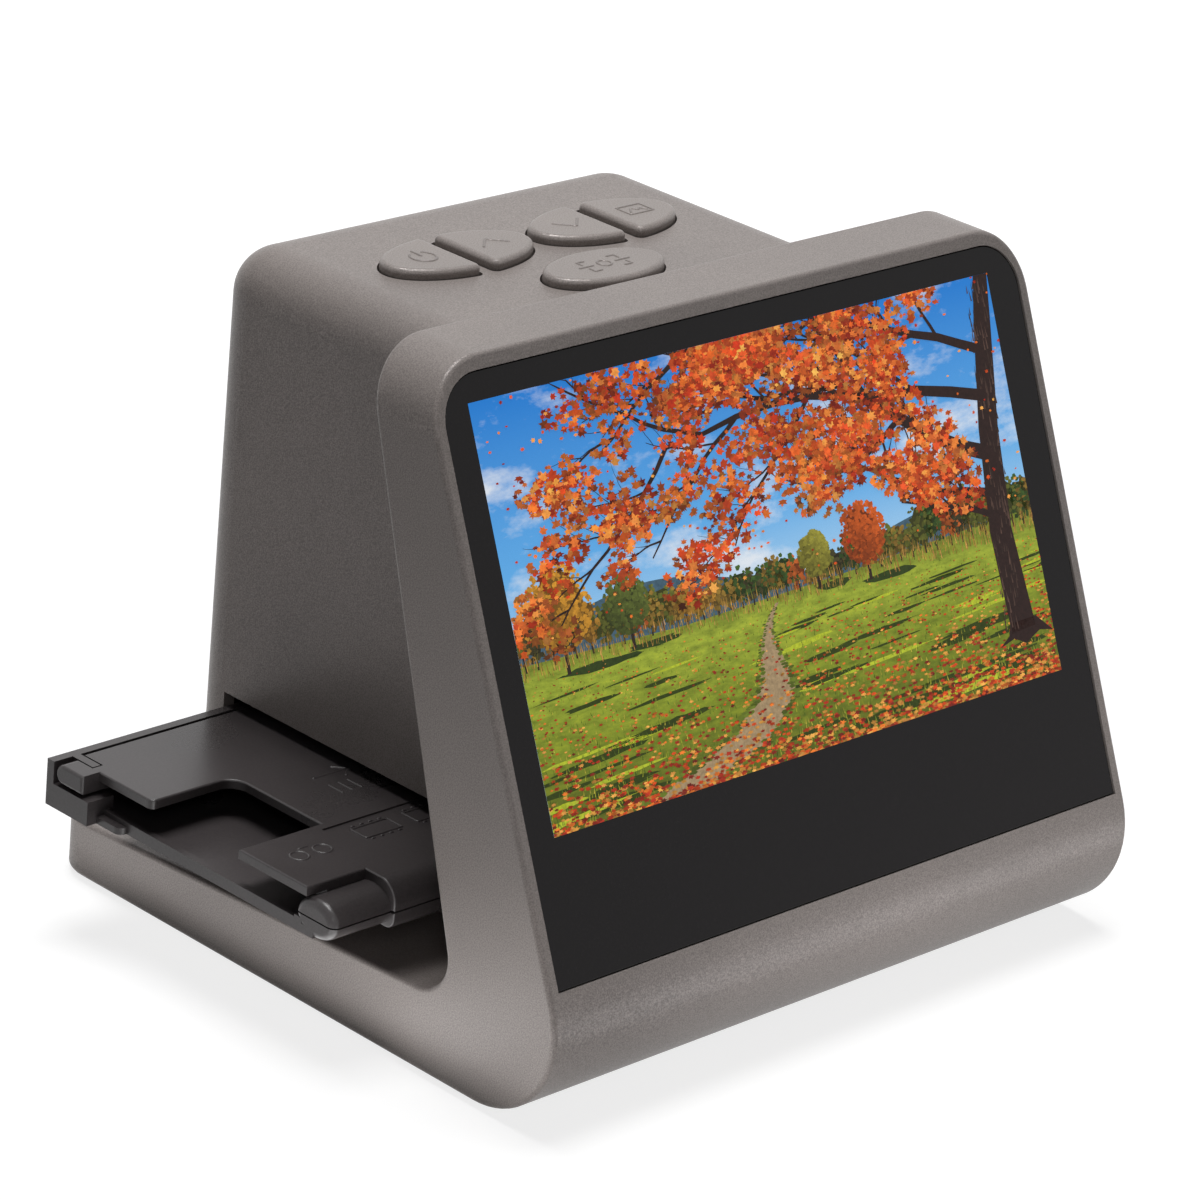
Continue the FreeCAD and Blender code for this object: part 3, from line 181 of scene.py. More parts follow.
def moulded(name, dark, light, rough, grain=2600, strength=0.2, gloss=0.5):
    """Plain moulded plastic with a fine spark-eroded grain."""
    shader = Shader(name).set(Specular_IOR_Level=gloss)
    fine = shader.noise(scale=grain, detail=2.0, rough=0.6)
    clouds = shader.noise(scale=38, detail=4.0)
    both = shader.sum(fine, clouds, first_share=0.5, second_share=0.5)
    shader.colour(shader.ramp(both, [(0.35, dark), (0.65, light)]))
    shader.rough(clouds, *rough)
    shader.bump(fine, strength, distance=0.04 * MM)
    return shader.material


def smoked_gloss(name):
    """The polished smoked face over the display, with a trace of dust and wiping marks."""
    shader = Shader(name).set(Specular_IOR_Level=0.18)
    wiped = shader.stretched(scale=(1.0, 3.0, 1.0), turn=(0, 0, 0.5))
    wiping = shader.noise(scale=70, detail=4.0, rough=0.6, vector=wiped)
    dust = shader.noise(scale=2400, detail=1.0)
    clean, dusty = (0.0050, 0.0032, 0.0038), (0.0080, 0.0058, 0.0066)
    shader.colour(shader.ramp(dust, [(0.45, clean), (0.75, dusty)]))
    shader.rough(wiping, 0.08, 0.16)
    shader.bump(wiping, strength=0.04, distance=0.02 * MM)
    return shader.material


def brushed(name, dark, light, rough, scale):
    """Bare metal with fine hair lines."""
    shader = Shader(name).set(Metallic=1.0)
    hairs = shader.noise(scale=1500, detail=3.0, rough=0.6, vector=shader.stretched(scale))
    shader.colour(shader.ramp(hairs, [(noise_low, dark), (noise_high, light)]))
    shader.rough(hairs, *rough)
    shader.bump(hairs, strength=0.15, distance=0.02 * MM)
    return shader.material


def board(name):
    """Green lacquer over copper tracks, with bright pads."""
    shader = Shader(name).set(Specular_IOR_Level=0.5)
    flat = shader.stretched(scale=(1.0, 1.0, 1.0), turn=(0.4, 0.4, 0.0))
    lacquer, over_copper = (0.020, 0.130, 0.045, 1), (0.035, 0.200, 0.075, 1)
    tracks = shader.bricks(420, flat, lacquer, over_copper, gap=0.09)
    pads = shader.ramp(shader.cells(330, flat), [(0.10, (1, 1, 1)), (0.14, (0, 0, 0))])
    shader.colour(shader.mix(pads, tracks, (0.62, 0.50, 0.26, 1)))
    shader.rough(shader.noise(scale=500, detail=2.0), 0.28, 0.42)
    shader.bump(shader.noise(scale=420, detail=3.0), strength=0.12, distance=0.05 * MM)
    return shader.material


def lamp(name):
    """A small lamp: pale yellow fill, whiter between its grains."""
    shader = Shader(name).set(Specular_IOR_Level=0.6)
    spots = shader.cells(900)
    shader.colour(shader.ramp(spots, [(0.0, (0.92, 0.86, 0.45)), (0.5, (0.85, 0.80, 0.62))]))
    shader.rough(spots, 0.15, 0.3)
    return shader.material


def film_strip(name):
    """The amber ribbon with its copper conductors."""
    shader = Shader(name).set(Specular_IOR_Level=0.5)
    along = shader.stretched(scale=(1.0, 0.02, 0.02))
    amber, copper = (0.62, 0.36, 0.09, 1), (0.46, 0.22, 0.04, 1)
    shader.colour(shader.bricks(1400, along, amber, copper, gap=0.3))
    shader.rough(shader.noise(scale=300), 0.25, 0.4)
    shader.bump(shader.noise(scale=600), strength=0.1, distance=0.03 * MM)
    return shader.material


def clear_lens(name):
    """Coated glass, with a bluish cast that changes a little over it."""
    shader = Shader(name).set(Transmission_Weight=0.7, IOR=1.5, Specular_IOR_Level=0.6)
    cast = shader.noise(scale=220, detail=2.0)
    violet, teal = (0.30, 0.36, 0.55), (0.38, 0.46, 0.50)
    shader.colour(shader.ramp(cast, [(noise_low, violet), (noise_high, teal)]))
    shader.rough(cast, 0.03, 0.07)
    return shader.material


def rubbery(name):
    """Matt black rubber."""
    shader = Shader(name).set(Specular_IOR_Level=0.25)
    fine = shader.noise(scale=1500, detail=4.0, rough=0.7)
    dark, light = (0.016, 0.016, 0.017), (0.030, 0.030, 0.031)
    shader.colour(shader.ramp(fine, [(noise_low, dark), (noise_high, light)]))
    shader.rough(fine, 0.7, 0.9)
    shader.bump(fine, strength=0.4, distance=0.06 * MM)
    return shader.material


finishes = {
    "housing_plastic": paint(
        "housing_paint", dark=(0.196, 0.173, 0.163), light=(0.294, 0.260, 0.245), rough=(0.46, 0.36)),
    "button_plastic": paint(
        "button_paint", dark=(0.226, 0.200, 0.188), light=(0.316, 0.280, 0.263), rough=(0.42, 0.32)),
    "screen_plastic": smoked_gloss("smoked_face"),
    "display_glass": smoked_gloss("display_face"),
    "tray_plastic": moulded(
        "tray_moulding", dark=(0.040, 0.0350, 0.0355), light=(0.062, 0.054, 0.055),
        rough=(0.24, 0.34), strength=0.10, gloss=0.42),
    "black_plastic": moulded(
        "black_moulding", dark=(0.018, 0.018, 0.018), light=(0.030, 0.030, 0.030), rough=(0.45, 0.6)),
    "white_plastic": moulded(
        "white_moulding", dark=(0.72, 0.72, 0.70), light=(0.84, 0.84, 0.82), rough=(0.3, 0.45)),
    "lamp_plastic": lamp("lamp_fill"),
    "circuit_board": board("board_lacquer"),
    "chip_plastic": moulded(
        "chip_moulding", dark=(0.014, 0.014, 0.015), light=(0.028, 0.028, 0.030),
        rough=(0.5, 0.65), grain=1800, strength=0.3),
    "ribbon": film_strip("ribbon_film"),
    "rubber": rubbery("foot_rubber"),
    "steel": brushed(
        "plated_steel", dark=(0.45, 0.45, 0.45), light=(0.68, 0.68, 0.68),
        rough=(0.22, 0.40), scale=(1.0, 30.0, 1.0)),
    "magnet": brushed(
        "nickel_plate", dark=(0.60, 0.59, 0.57), light=(0.78, 0.77, 0.75),
        rough=(0.10, 0.22), scale=(4.0, 4.0, 4.0)),
    "lens_glass": clear_lens("coated_lens"),
}

for part in frame["record"]["subparts"]:
    mesh = nodes[part["node"]].data
    mesh.materials.clear()
    mesh.materials.append(finishes[part["material_slot"]])


# The face of the display, which leans back. All in millimetres.

lean = math.radians(23.12)
face_foot_y = -64.87
face_foot_z = 0.8
picture_centre = -0.8
picture_width = 110.7
picture_low = 46.5
picture_height = 63.5
cover_depth = 0.25


def on_face(across, slope, depth):
    """The place, in metres, at distances across the face, up its slope and into the body."""
    return Vector((
        across,
        face_foot_y + slope * math.sin(lean) + depth * math.cos(lean),
        face_foot_z + slope * math.cos(lean) - depth * math.sin(lean),
    )) * MM


# The picture on the display is painted in flat dabs. A place in it is (u, v), in millimetres from its
# lower left corner. over_cover says how far over the display's cover each of its layers starts, and
# how_many how many of each small shape there are.

sky_paint, meadow_paint, dab_paint = 0, 1, 2
tone_gain, tone_power = 1.2, 1.28  # from a colour as written here to the colour that is lit
smallest_area = 0.004  # twice the area of the smallest dab that is kept
horizon = 24.0
trunk_brown = (0.055, 0.035, 0.025)
over_cover = {
    "sky": 0.02,
    "hills": 0.03,
    "meadow": 0.04,
    "belt_trunks": 0.045,
    "belt_crowns": 0.05,
    "stripes": 0.0565,
    "grass": 0.058,
    "path": 0.06,
    "path_edge": 0.064,
    "tree_shadows": 0.066,
    "tree_trunks": 0.070,
    "reeds": 0.072,
    "tree_crowns": 0.074,
    "fallen_leaves": 0.082,
    "maple_stem": 0.100,
    "maple_bark": 0.101,
    "maple_limbs": 0.104,
    "maple_leaves": 0.106,
    "loose_leaves": 0.155,
}
how_many = {
    "belt_dabs": 46,
    "tree_dabs": 420,
    "reeds": 900,
    "tufts": 3,
    "stripes": 90,
    "grass": 2600,
    "fallen_leaves": 2900,
    "bark_cracks": 150,
    "loose_leaves": 260,
}


class Picture:
    """Flat painted shapes that lie on the display."""

    def __init__(self):
        self.points = []
        self.faces = []
        self.colours = []
        self.kinds = []

    def add(self, shape, height, colour, kind=dab_paint):
        """One shape, held inside the picture's edges and turned to face outwards."""
        start = len(self.points)
        held = []
        for u, v in shape:
            u = min(max(u, 0.0), picture_width)
            v = min(max(v, 0.0), picture_height)
            held.append((u, v))
        area = sum(a[0] * b[1] - b[0] * a[1] for a, b in zip(held, held[1:] + held[:1]))
        if abs(area) < smallest_area:
            return
        if area < 0:
            held.reverse()
        for u, v in held:
            across = picture_centre - picture_width / 2 + u
            self.points.append(on_face(across, picture_low + v, cover_depth - height))
        self.faces.append(tuple(range(start, start + len(held))))
        self.colours.append([min(1.0, tone_gain * part ** tone_power) for part in colour])
        self.kinds.append(kind)

    def build(self, name, materials):
        mesh = bpy.data.meshes.new(name)
        mesh.from_pydata(self.points, [], self.faces)
        for material in materials:
            mesh.materials.append(material)
        layer = mesh.color_attributes.new("dab", "FLOAT_COLOR", "CORNER")
        for face, colour, kind in zip(mesh.polygons, self.colours, self.kinds):
            face.material_index = kind
            for corner in face.loop_indices:
                layer.data[corner].color = (*colour, 1.0)
        piece = bpy.data.objects.new(name, mesh)
        bpy.context.scene.collection.objects.link(piece)
        return piece


def leaf_shape(u, v, size, turn, flat):
    """A five-lobed leaf. flat is its height as a share of its width."""
    outline = [
        (90, 1.0), (72, 0.50), (38, 0.90), (14, 0.46), (-18, 0.66), (-62, 0.40),
        (-90, 0.46), (-118, 0.40), (198, 0.66), (166, 0.46), (142, 0.90), (108, 0.50),
    ]
    shape = []
    for angle, reach in outline:
        a = math.radians(angle + turn)
        shape.append((u + size * reach * math.cos(a), v + size * reach * math.sin(a) * flat))
    return shape


def dab_shape(rng, u, v, wide, high, corners):
    """An uneven round dab with wide and high as its half measures."""
    wobble, least_reach = 0.35, 0.65
    shape = []
    for index in range(corners):
        a = math.tau * index / corners + rng.uniform(-wobble, wobble)
        reach = rng.uniform(least_reach, 1.0)
        shape.append((u + wide * reach * math.cos(a), v + high * reach * math.sin(a)))
    return shape


def blade_shape(u, v, half, tip, tall):
    """A pointed blade that stands on (u, v), with its tip to one side."""
    return [(u - half, v), (u + half, v), (u + tip, v + tall)]


def strip_shape(points, start_width, end_width):
    """A strip along points that narrows from one width to another."""
    left, right = [], []
    last = len(points) - 1
    for index, (u, v) in enumerate(points):
        before = points[max(index - 1, 0)]
        after = points[min(index + 1, last)]
        du, dv = after[0] - before[0], after[1] - before[1]
        length = math.hypot(du, dv) or 1.0
        half = 0.5 * (start_width + (end_width - start_width) * index / last)
        left.append((u - dv / length * half, v + du / length * half))
        right.append((u + dv / length * half, v - du / length * half))
    return left + right[::-1]


def shade(colour, factor):
    return tuple(min(1.0, max(0.0, c * factor)) for c in colour)


def ridge(base, swell, seed):
    """A hilly line, as its height at each place across."""
    line = random.Random(seed)
    bumps = [
        (line.uniform(0.02, 0.12), line.uniform(0, 6.3), line.uniform(0.4, 1.0))
        for _ in range(6)
    ]
    return lambda u: base + swell * sum(a * math.sin(f * u + p) for f, p, a in bumps) / 3


def paint_background(art):
    """Sky and meadow, whose colours come from their materials, and the far hills between them."""
    wide, high = picture_width, picture_height
    plain = (1, 1, 1)
    art.add([(0, 0), (wide, 0), (wide, high), (0, high)], over_cover["sky"], plain, sky_paint)
    hill = ridge(horizon + 6.0, swell=3.0, seed=5)
    hill_foot = 15
    line = [(wide * i / 60, hill(wide * i / 60)) for i in range(61)]
    far_blue = (0.10, 0.17, 0.22)
    art.add(line + [(wide, hill_foot), (0, hill_foot)], over_cover["hills"], far_blue)
    far_edge = [
        (wide, horizon + 2.2), (wide * 0.6, horizon + 0.6), (wide * 0.3, horizon), (0, horizon + 1.0),
    ]
    art.add([(0, 0), (wide, 0)] + far_edge, over_cover["meadow"], plain, meadow_paint)


def crown(art, rng, u, v, wide_half, high_half, colour, layer, dabs):
    """A tree's leaves: a dark dab under small ones, lighter to the top and the right."""
    height, count = over_cover[layer], how_many[dabs]
    inner, dark = 0.92, 0.45
    under = dab_shape(rng, u, v, wide_half * inner, high_half * inner, 14)
    art.add(under, height, shade(colour, dark))
    for index in range(count):
        a = rng.uniform(0, math.tau)
        reach = math.sqrt(rng.random())
        du, dv = wide_half * reach * math.cos(a), high_half * reach * math.sin(a)
        light = 0.62 + 0.55 * (dv / high_half * 0.5 + 0.5) + 0.18 * (du / wide_half)
        light += rng.uniform(-0.22, 0.22)
        size = rng.uniform(0.28, 0.75)
        dab = dab_shape(rng, u + du, v + dv, size, size * 0.8, 5)
        art.add(dab, height + 0.004 + 0.014 * index / count, shade(colour, light))


def trunk(art, rng, u, low, top, width, height):
    """A thin trunk, a little bent, that narrows upwards."""
    bend = rng.uniform(-0.5, 0.5)
    line = [(u, low), (u + bend * 0.4, (low + top) / 2), (u + bend, top)]
    art.add(strip_shape(line, width, width * 0.35), height, trunk_brown)


def paint_belt(art, rng):
    """The far belt of bushes and round trees, with dry reeds and low scrub at its foot."""
    greens = [
        (0.075, 0.13, 0.035), (0.16, 0.17, 0.04), (0.30, 0.20, 0.05),
        (0.42, 0.24, 0.05), (0.10, 0.09, 0.04), (0.48, 0.15, 0.04),
    ]
    base = horizon + 0.3
    u = -2.0
    while u < picture_width + 4:
        tall = rng.uniform(2.2, 5.2) + 3.0 * max(0.0, math.sin(u * 0.075 + 0.6))
        colour = rng.choice(greens)
        trunk(art, rng, u, base - 0.4, base + tall * 0.6, 0.35, over_cover["belt_trunks"])
        half = rng.uniform(1.9, 3.4)
        middle = base + tall * 0.62
        crown(art, rng, u, middle, half, tall * 0.56, colour, "belt_crowns", "belt_dabs")
        u += rng.uniform(2.0, 3.6)

    reeds = [(0.50, 0.30, 0.09), (0.36, 0.24, 0.06), (0.24, 0.22, 0.05), (0.60, 0.36, 0.13)]
    for _ in range(how_many["reeds"]):
        u = rng.uniform(0, picture_width)
        v = horizon + rng.uniform(-1.6, 1.2)
        tall = rng.uniform(0.8, 2.4)
        tone = rng.choice(reeds)
        reed = blade_shape(u, v, 0.07, rng.uniform(-0.3, 0.3), tall)
        height = over_cover["reeds"] + rng.uniform(0, 0.006)
        art.add(reed, height, shade(tone, rng.uniform(0.6, 1.25)))


def paint_path(art, rng):
    """The path that winds from the front edge to the far trees, with tufts along both sides."""
    left_side, right_side = [], []
    parts = 40
    for i in range(parts + 1):
        t = i / parts
        v = horizon * 0.97 * t
        middle = 22 + 36 * t + 15 * math.sin(t * 3.9 + 0.2) * (1 - 0.55 * t)
        half = 8.6 * (1 - t) ** 1.35 + 0.35
        left_side.append((middle - half, v))
        right_side.append((middle + half, v))
    sandy, tuft_green = (0.42, 0.32, 0.20), (0.16, 0.20, 0.035)
    art.add(left_side + right_side[::-1], over_cover["path"], sandy)
    for i in range(parts):
        for side in (left_side, right_side):
            u, v = side[i]
            size = 0.25 + 1.2 * (1 - i / parts)
            for _ in range(how_many["tufts"]):
                du, dv = rng.uniform(-size, size), rng.uniform(-0.3, 0.3)
                tuft = dab_shape(rng, u + du, v + dv, size, size * 0.35, 6)
                height = over_cover["path_edge"] + rng.uniform(0, 0.004)
                art.add(tuft, height, shade(tuft_green, rng.uniform(0.6, 1.4)))


def paint_trees(art, rng):
    """Nearer trees on the meadow, with their shadows."""
    shadow_green = (0.055, 0.085, 0.020)
    for place, foot, tall, half, colour in (
        (9, 22.5, 15.5, 6.6, (0.55, 0.30, 0.05)),
        (22.5, 23.4, 10.5, 4.4, (0.14, 0.17, 0.045)),
        (73, 23.0, 11.5, 4.8, (0.50, 0.13, 0.03)),
        (62, 24.0, 8.0, 3.3, (0.30, 0.28, 0.06)),
    ):
        shadow = dab_shape(rng, place + half * 0.9, foot - 0.5, half * 1.5, 0.75, 16)
        art.add(shadow, over_cover["tree_shadows"], shadow_green)
        trunk(art, rng, place, foot - 0.5, foot + tall * 0.55, 0.75, over_cover["tree_trunks"])
        for side in (-1, 1):
            fork = [(place, foot + tall * 0.3), (place + side * half * 0.5, foot + tall * 0.6)]
            art.add(strip_shape(fork, 0.4, 0.15), over_cover["tree_trunks"], trunk_brown)
        middle = foot + tall * 0.60
        crown(art, rng, place, middle, half, tall * 0.42, colour, "tree_crowns", "tree_dabs")


def paint_stripes(art):
    """Long shadows of trees that stand outside the picture, and sunlit stripes between them."""
    rng = random.Random(7)
    shadow_green, sunny_green = (0.060, 0.085, 0.012), (0.48, 0.54, 0.06)
    for _ in range(how_many["stripes"]):
        v = horizon * rng.uniform(0.04, 0.86)
        near = 1 - v / horizon
        u = rng.uniform(-5, picture_width + 5)
        on_path = abs(u - 40) < 14 * near + 4
        if on_path:
            continue
        reach = rng.uniform(5, 13) * (0.5 + near)
        thick = rng.uniform(0.18, 0.50) * (0.4 + 1.6 * near)
        tone = shadow_green if rng.random() < 0.68 else sunny_green
        stripe = dab_shape(rng, u, v, reach, thick, 18)
        tilted = [(a, min(b + 0.05 * (a - u), horizon * 0.95)) for a, b in stripe]
        art.add(tilted, over_cover["stripes"] + rng.uniform(0, 0.001), tone)


def paint_grass(art, rng):
    """Grass blades, larger to the front."""
    greens = [(0.22, 0.30, 0.04), (0.34, 0.36, 0.05), (0.12, 0.19, 0.03), (0.45, 0.40, 0.08)]
    for _ in range(how_many["grass"]):
        v = (horizon - 1) * rng.random() ** 1.1
        near = 1 - v / horizon
        u = rng.uniform(0, picture_width)
        tone = rng.choice(greens)
        half, tall = 0.05 + 0.07 * near, 0.25 + 0.9 * near
        blade = blade_shape(u, v, half, rng.uniform(-0.4, 0.4) * near, tall)
        height = over_cover["grass"] + rng.uniform(0, 0.002)
        art.add(blade, height, shade(tone, rng.uniform(0.6, 1.3)))


def paint_fallen_leaves(art, rng):
    """Fallen leaves, thick to the front and to the right."""
    tones = [
        (0.62, 0.11, 0.03), (0.45, 0.06, 0.03), (0.75, 0.24, 0.05),
        (0.66, 0.36, 0.09), (0.30, 0.05, 0.03), (0.80, 0.42, 0.12),
    ]
    for _ in range(how_many["fallen_leaves"]):
        v = (horizon - 2) * rng.random() ** 1.7
        near = 1 - v / horizon
        if rng.random() < 0.6:
            u = picture_width * (1 - rng.random() ** 1.25)
        else:
            u = rng.uniform(0, picture_width)
        size = (0.20 + 0.75 * near) * rng.uniform(0.7, 1.3)
        leaf = leaf_shape(u, v, size, rng.uniform(0, 360), flat=0.45)
        height = over_cover["fallen_leaves"] + rng.uniform(0, 0.014)
        art.add(leaf, height, shade(rng.choice(tones), rng.uniform(0.55, 1.2)))


def paint_maple(art, rng):
    """The big maple at the right edge: stem, roots, limbs, twigs and leaves."""
    bark, bark_ridge = (0.050, 0.026, 0.022), (0.12, 0.075, 0.06)
    stem = [(104, 8), (103.0, 24), (104.5, 40), (107.5, 56), (109, 64)]
    art.add(strip_shape(stem, 5.6, 3.2), over_cover["maple_stem"], bark)
    for _ in range(how_many["bark_cracks"]):
        v = rng.uniform(8, 62)
        u = 103.4 + (v - 24) * 0.11 + rng.uniform(-2.2, 2.2)
        crack = blade_shape(u, v, 0.16, rng.uniform(-0.2, 0.2), rng.uniform(1, 3))
        height = over_cover["maple_bark"] + rng.uniform(0, 0.002)
        art.add(crack, height, shade(bark_ridge, rng.uniform(0.5, 1.3)))
    roots = [
        (100.4, 7.6), (98.0, 6.2), (101.5, 7.0), (104, 5.8),
        (107.5, 7.2), (110.5, 6.6), (107.2, 9.5), (101.2, 9.5),
    ]
    art.add(roots, over_cover["maple_stem"], bark)

    limbs = []
    parts = 9
    twig_level = 3

    def limb(start, heading, length, width, level):
        """A limb and, from its points, the thinner ones that leave it to both sides."""
        points = [start]
        u, v = start
        for _ in range(parts):
            heading += rng.uniform(-9, 9)
            u += length / parts * math.cos(math.radians(heading))
            v += length / parts * math.sin(math.radians(heading))
            points.append((u, v))
        height = over_cover["maple_limbs"] + 0.002 * level
        art.add(strip_shape(points, width, width * 0.30), height, bark)
        limbs.append((points, level))
        if level == twig_level:
            return
        for index in range(2, parts + 1, 2 if level else 1):
            side = 1 if index % 2 else -1
            turn = heading + side * rng.uniform(22, 46)
            limb(points[index], turn, length * rng.uniform(0.34, 0.52), width * 0.42, level + 1)

    limb((104.0, 36.0), heading=158, length=62, width=2.5, level=0)
    limb((105.2, 45.0), heading=170, length=70, width=1.9, level=0)
    limb((103.6, 30.0), heading=172, length=34, width=1.5, level=1)
    limb((106.5, 52.0), heading=163, length=46, width=1.6, level=0)
    limb((103.4, 26.0), heading=150, length=22, width=1.2, level=1)

    oranges = [
        (0.78, 0.15, 0.035), (0.88, 0.25, 0.05), (0.62, 0.08, 0.025), (0.95, 0.46, 0.13),
        (0.45, 0.05, 0.02), (0.82, 0.18, 0.06), (0.90, 0.34, 0.08),
    ]
    clumps = []
    for points, level in limbs:
        thick = level < 2
        for u, v in points[3 if thick else 2:]:
            if rng.random() < (0.40 if thick else 0.17):
                place = (u + rng.uniform(-1, 1), v + rng.uniform(-1.6, 0.6))
                reach, hue = rng.uniform(1.4, 3.6), rng.choice(oranges)
                clumps.append((place, reach, hue, rng.uniform(0.45, 1.12)))
    lowest_leaf = 20
    for (u0, v0), reach, hue, glow in clumps:
        count = int(2.6 * reach * reach)
        for index in range(count):
            a, r = rng.uniform(0, math.tau), reach * math.sqrt(rng.random())
            u, v = u0 + 1.35 * r * math.cos(a), v0 + 0.9 * r * math.sin(a)
            if v < lowest_leaf or u > picture_width or u < 0 or v > picture_height:
                continue
            front = index / count
            size = rng.uniform(0.60, 1.45)
            own = rng.choice(oranges)
            tone = tuple(0.6 * x + 0.4 * y for x, y in zip(own, hue))
            light = glow * (0.40 + 0.75 * front + 0.14 * (v - v0) / reach + rng.uniform(-0.14, 0.18))
            flat = rng.uniform(0.40, 1.0)
            leaf = leaf_shape(u, v, size, rng.uniform(150, 390), flat)
            art.add(leaf, over_cover["maple_leaves"] + 0.045 * front, shade(tone, light))
    for _ in range(how_many["loose_leaves"]):
        u, v = rng.uniform(2, picture_width), rng.uniform(26, picture_height)
        leaf = leaf_shape(u, v, rng.uniform(0.35, 0.7), rng.uniform(0, 360), rng.uniform(0.4, 0.9))
        art.add(leaf, over_cover["loose_leaves"], shade(rng.choice(oranges), rng.uniform(0.7, 1.1)))


def paint_picture():
    """A generic autumn landscape. One row of random draws runs through it, so its order matters."""
    art = Picture()
    rng = random.Random(41)
    paint_background(art)
    paint_belt(art, rng)
    paint_path(art, rng)
    paint_trees(art, rng)
    paint_stripes(art)
    paint_grass(art, rng)
    paint_fallen_leaves(art, rng)
    paint_maple(art, rng)
    return art


def picture_shader(name):
    """A lit display cell: most of its colour is its own light, under a smooth clear face."""
    return Shader(name).set(Specular_IOR_Level=0.14, Roughness=0.22, Emission_Strength=0.80)


def lit(shader, colour):
    """The colour with the display's fine grid of cells, as light and, darker, as paint."""
    upright = shader.stretched(scale=(1.0, 1.0, 1.0), turn=(math.pi / 2, 0, 0))
    grid = shader.bricks(4000, upright, (1, 1, 1, 1), (0.86, 0.86, 0.86, 1), gap=0.08)
    total = shader.mix(1.0, colour, grid, "MULTIPLY")
    shader.link(total, shader.main.inputs["Emission Color"])
    shader.colour(shader.mix(1.0, total, (0.32, 0.32, 0.32, 1), "MULTIPLY"))
    return shader.material


def up_picture(shader, low, top):
    """A share that goes from 0 to 1 between two heights in the picture."""
    split = shader.tree.nodes.new("ShaderNodeSeparateXYZ")
    shader.link(shader.place, split.inputs[0])
    low_z = on_face(0, picture_low + low, 0).z
    top_z = on_face(0, picture_low + top, 0).z
    return shader.range(split.outputs["Z"], low_z, top_z)


def sky_material():
    shader = picture_shader("picture_sky")
    up = up_picture(shader, horizon, picture_height)
    pale, mid, deep = (0.46, 0.72, 0.94), (0.13, 0.45, 0.88), (0.018, 0.22, 0.70)
    blue = shader.ramp(up, [(0.0, pale), (0.35, mid), (1.0, deep)])
    long_clouds = shader.stretched(scale=(1.0, 1.0, 2.4), turn=(0, 0.18, 0))
    cloud = shader.noise(scale=42, detail=7.0, rough=0.62, vector=long_clouds)
    white = shader.ramp(cloud, [(0.52, (0, 0, 0)), (0.70, (0.9, 0.9, 0.9))])
    return lit(shader, shader.mix(white, blue, (0.88, 0.92, 0.97, 1)))


def meadow_material():
    shader = picture_shader("picture_meadow")
    up = up_picture(shader, 0, horizon + 1)
    base = shader.ramp(up, [
        (0.0, (0.11, 0.13, 0.014)), (0.45, (0.23, 0.29, 0.022)),
        (0.85, (0.36, 0.44, 0.042)), (1.0, (0.20, 0.25, 0.030)),
    ])
    tufts = shader.noise(scale=260, detail=6.0, rough=0.7, vector=shader.stretched((1.0, 1.0, 3.2)))
    spread = shader.ramp(tufts, [
        (0.30, (0.50, 0.52, 0.50)), (0.55, (1.0, 1.0, 1.0)), (0.75, (1.5, 1.35, 1.2)),
    ])
    return lit(shader, shader.mix(1.0, base, spread, "MULTIPLY"))


def dab_material():
    shader = picture_shader("picture_dabs")
    attribute = shader.tree.nodes.new("ShaderNodeVertexColor")
    attribute.layer_name = "dab"
    fine = shader.noise(scale=1500, detail=3.0, rough=0.6)
    dark, light = (0.74, 0.74, 0.74), (1.2, 1.2, 1.2)
    spread = shader.ramp(fine, [(noise_low, dark), (noise_high, light)])
    return lit(shader, shader.mix(1.0, attribute.outputs["Color"], spread, "MULTIPLY"))


# In the order of sky_paint, meadow_paint and dab_paint
picture_materials = [sky_material(), meadow_material(), dab_material()]
picture = paint_picture().build("display_picture", picture_materials)
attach(picture, "casing")


# Raised signs, made of round beads that lie half sunk in a level face. All in millimetres.

button_top = 103.9
mark_material = paint(
    "mark_paint", dark=(0.180, 0.159, 0.149), light=(0.250, 0.221, 0.208), rough=(0.42, 0.34))


def bead(points, radius, closed):
    """Points and faces of a round bead along a line, with rounded ends where it is open."""
    sides = 10
    # The rings of a rounded end, as shares of the radius: how wide they are and how far out
    end_rings = [(0.30, 0.95), (0.72, 0.70), (0.95, 0.30)]
    rings = []
    count = len(points)
    stops = [(index, 1.0, 0.0) for index in range(count)]
    if not closed:
        stops = [(0, grow, -reach) for grow, reach in end_rings] + stops
        stops += [(count - 1, grow, reach) for grow, reach in end_rings[::-1]]
    for index, grow, reach in stops:
        before = points[(index - 1) % count] if closed else points[max(index - 1, 0)]
        after = points[(index + 1) % count] if closed else points[min(index + 1, count - 1)]
        way = (Vector(after) - Vector(before)).normalized()
        side = Vector((-way.y, way.x, 0))
        centre = Vector(points[index]) + way * radius * reach
        ring = []
        for step in range(sides):
            a = math.tau * step / sides
            lift = Vector((0, 0, radius * grow * math.sin(a)))
            ring.append(centre + side * radius * grow * math.cos(a) + lift)
        rings.append(ring)
    faces = []
    total = len(rings)
    for index in range(total if closed else total - 1):
        for step in range(sides):
            a = index * sides + step
            b = index * sides + (step + 1) % sides
            c = (index + 1) % total * sides + (step + 1) % sides
            d = (index + 1) % total * sides + step
            faces.append((a, b, c, d))
    if not closed:
        faces.append(tuple(range(sides)))
        faces.append(tuple(range((total - 1) * sides, total * sides))[::-1])
    return [p for ring in rings for p in ring], faces


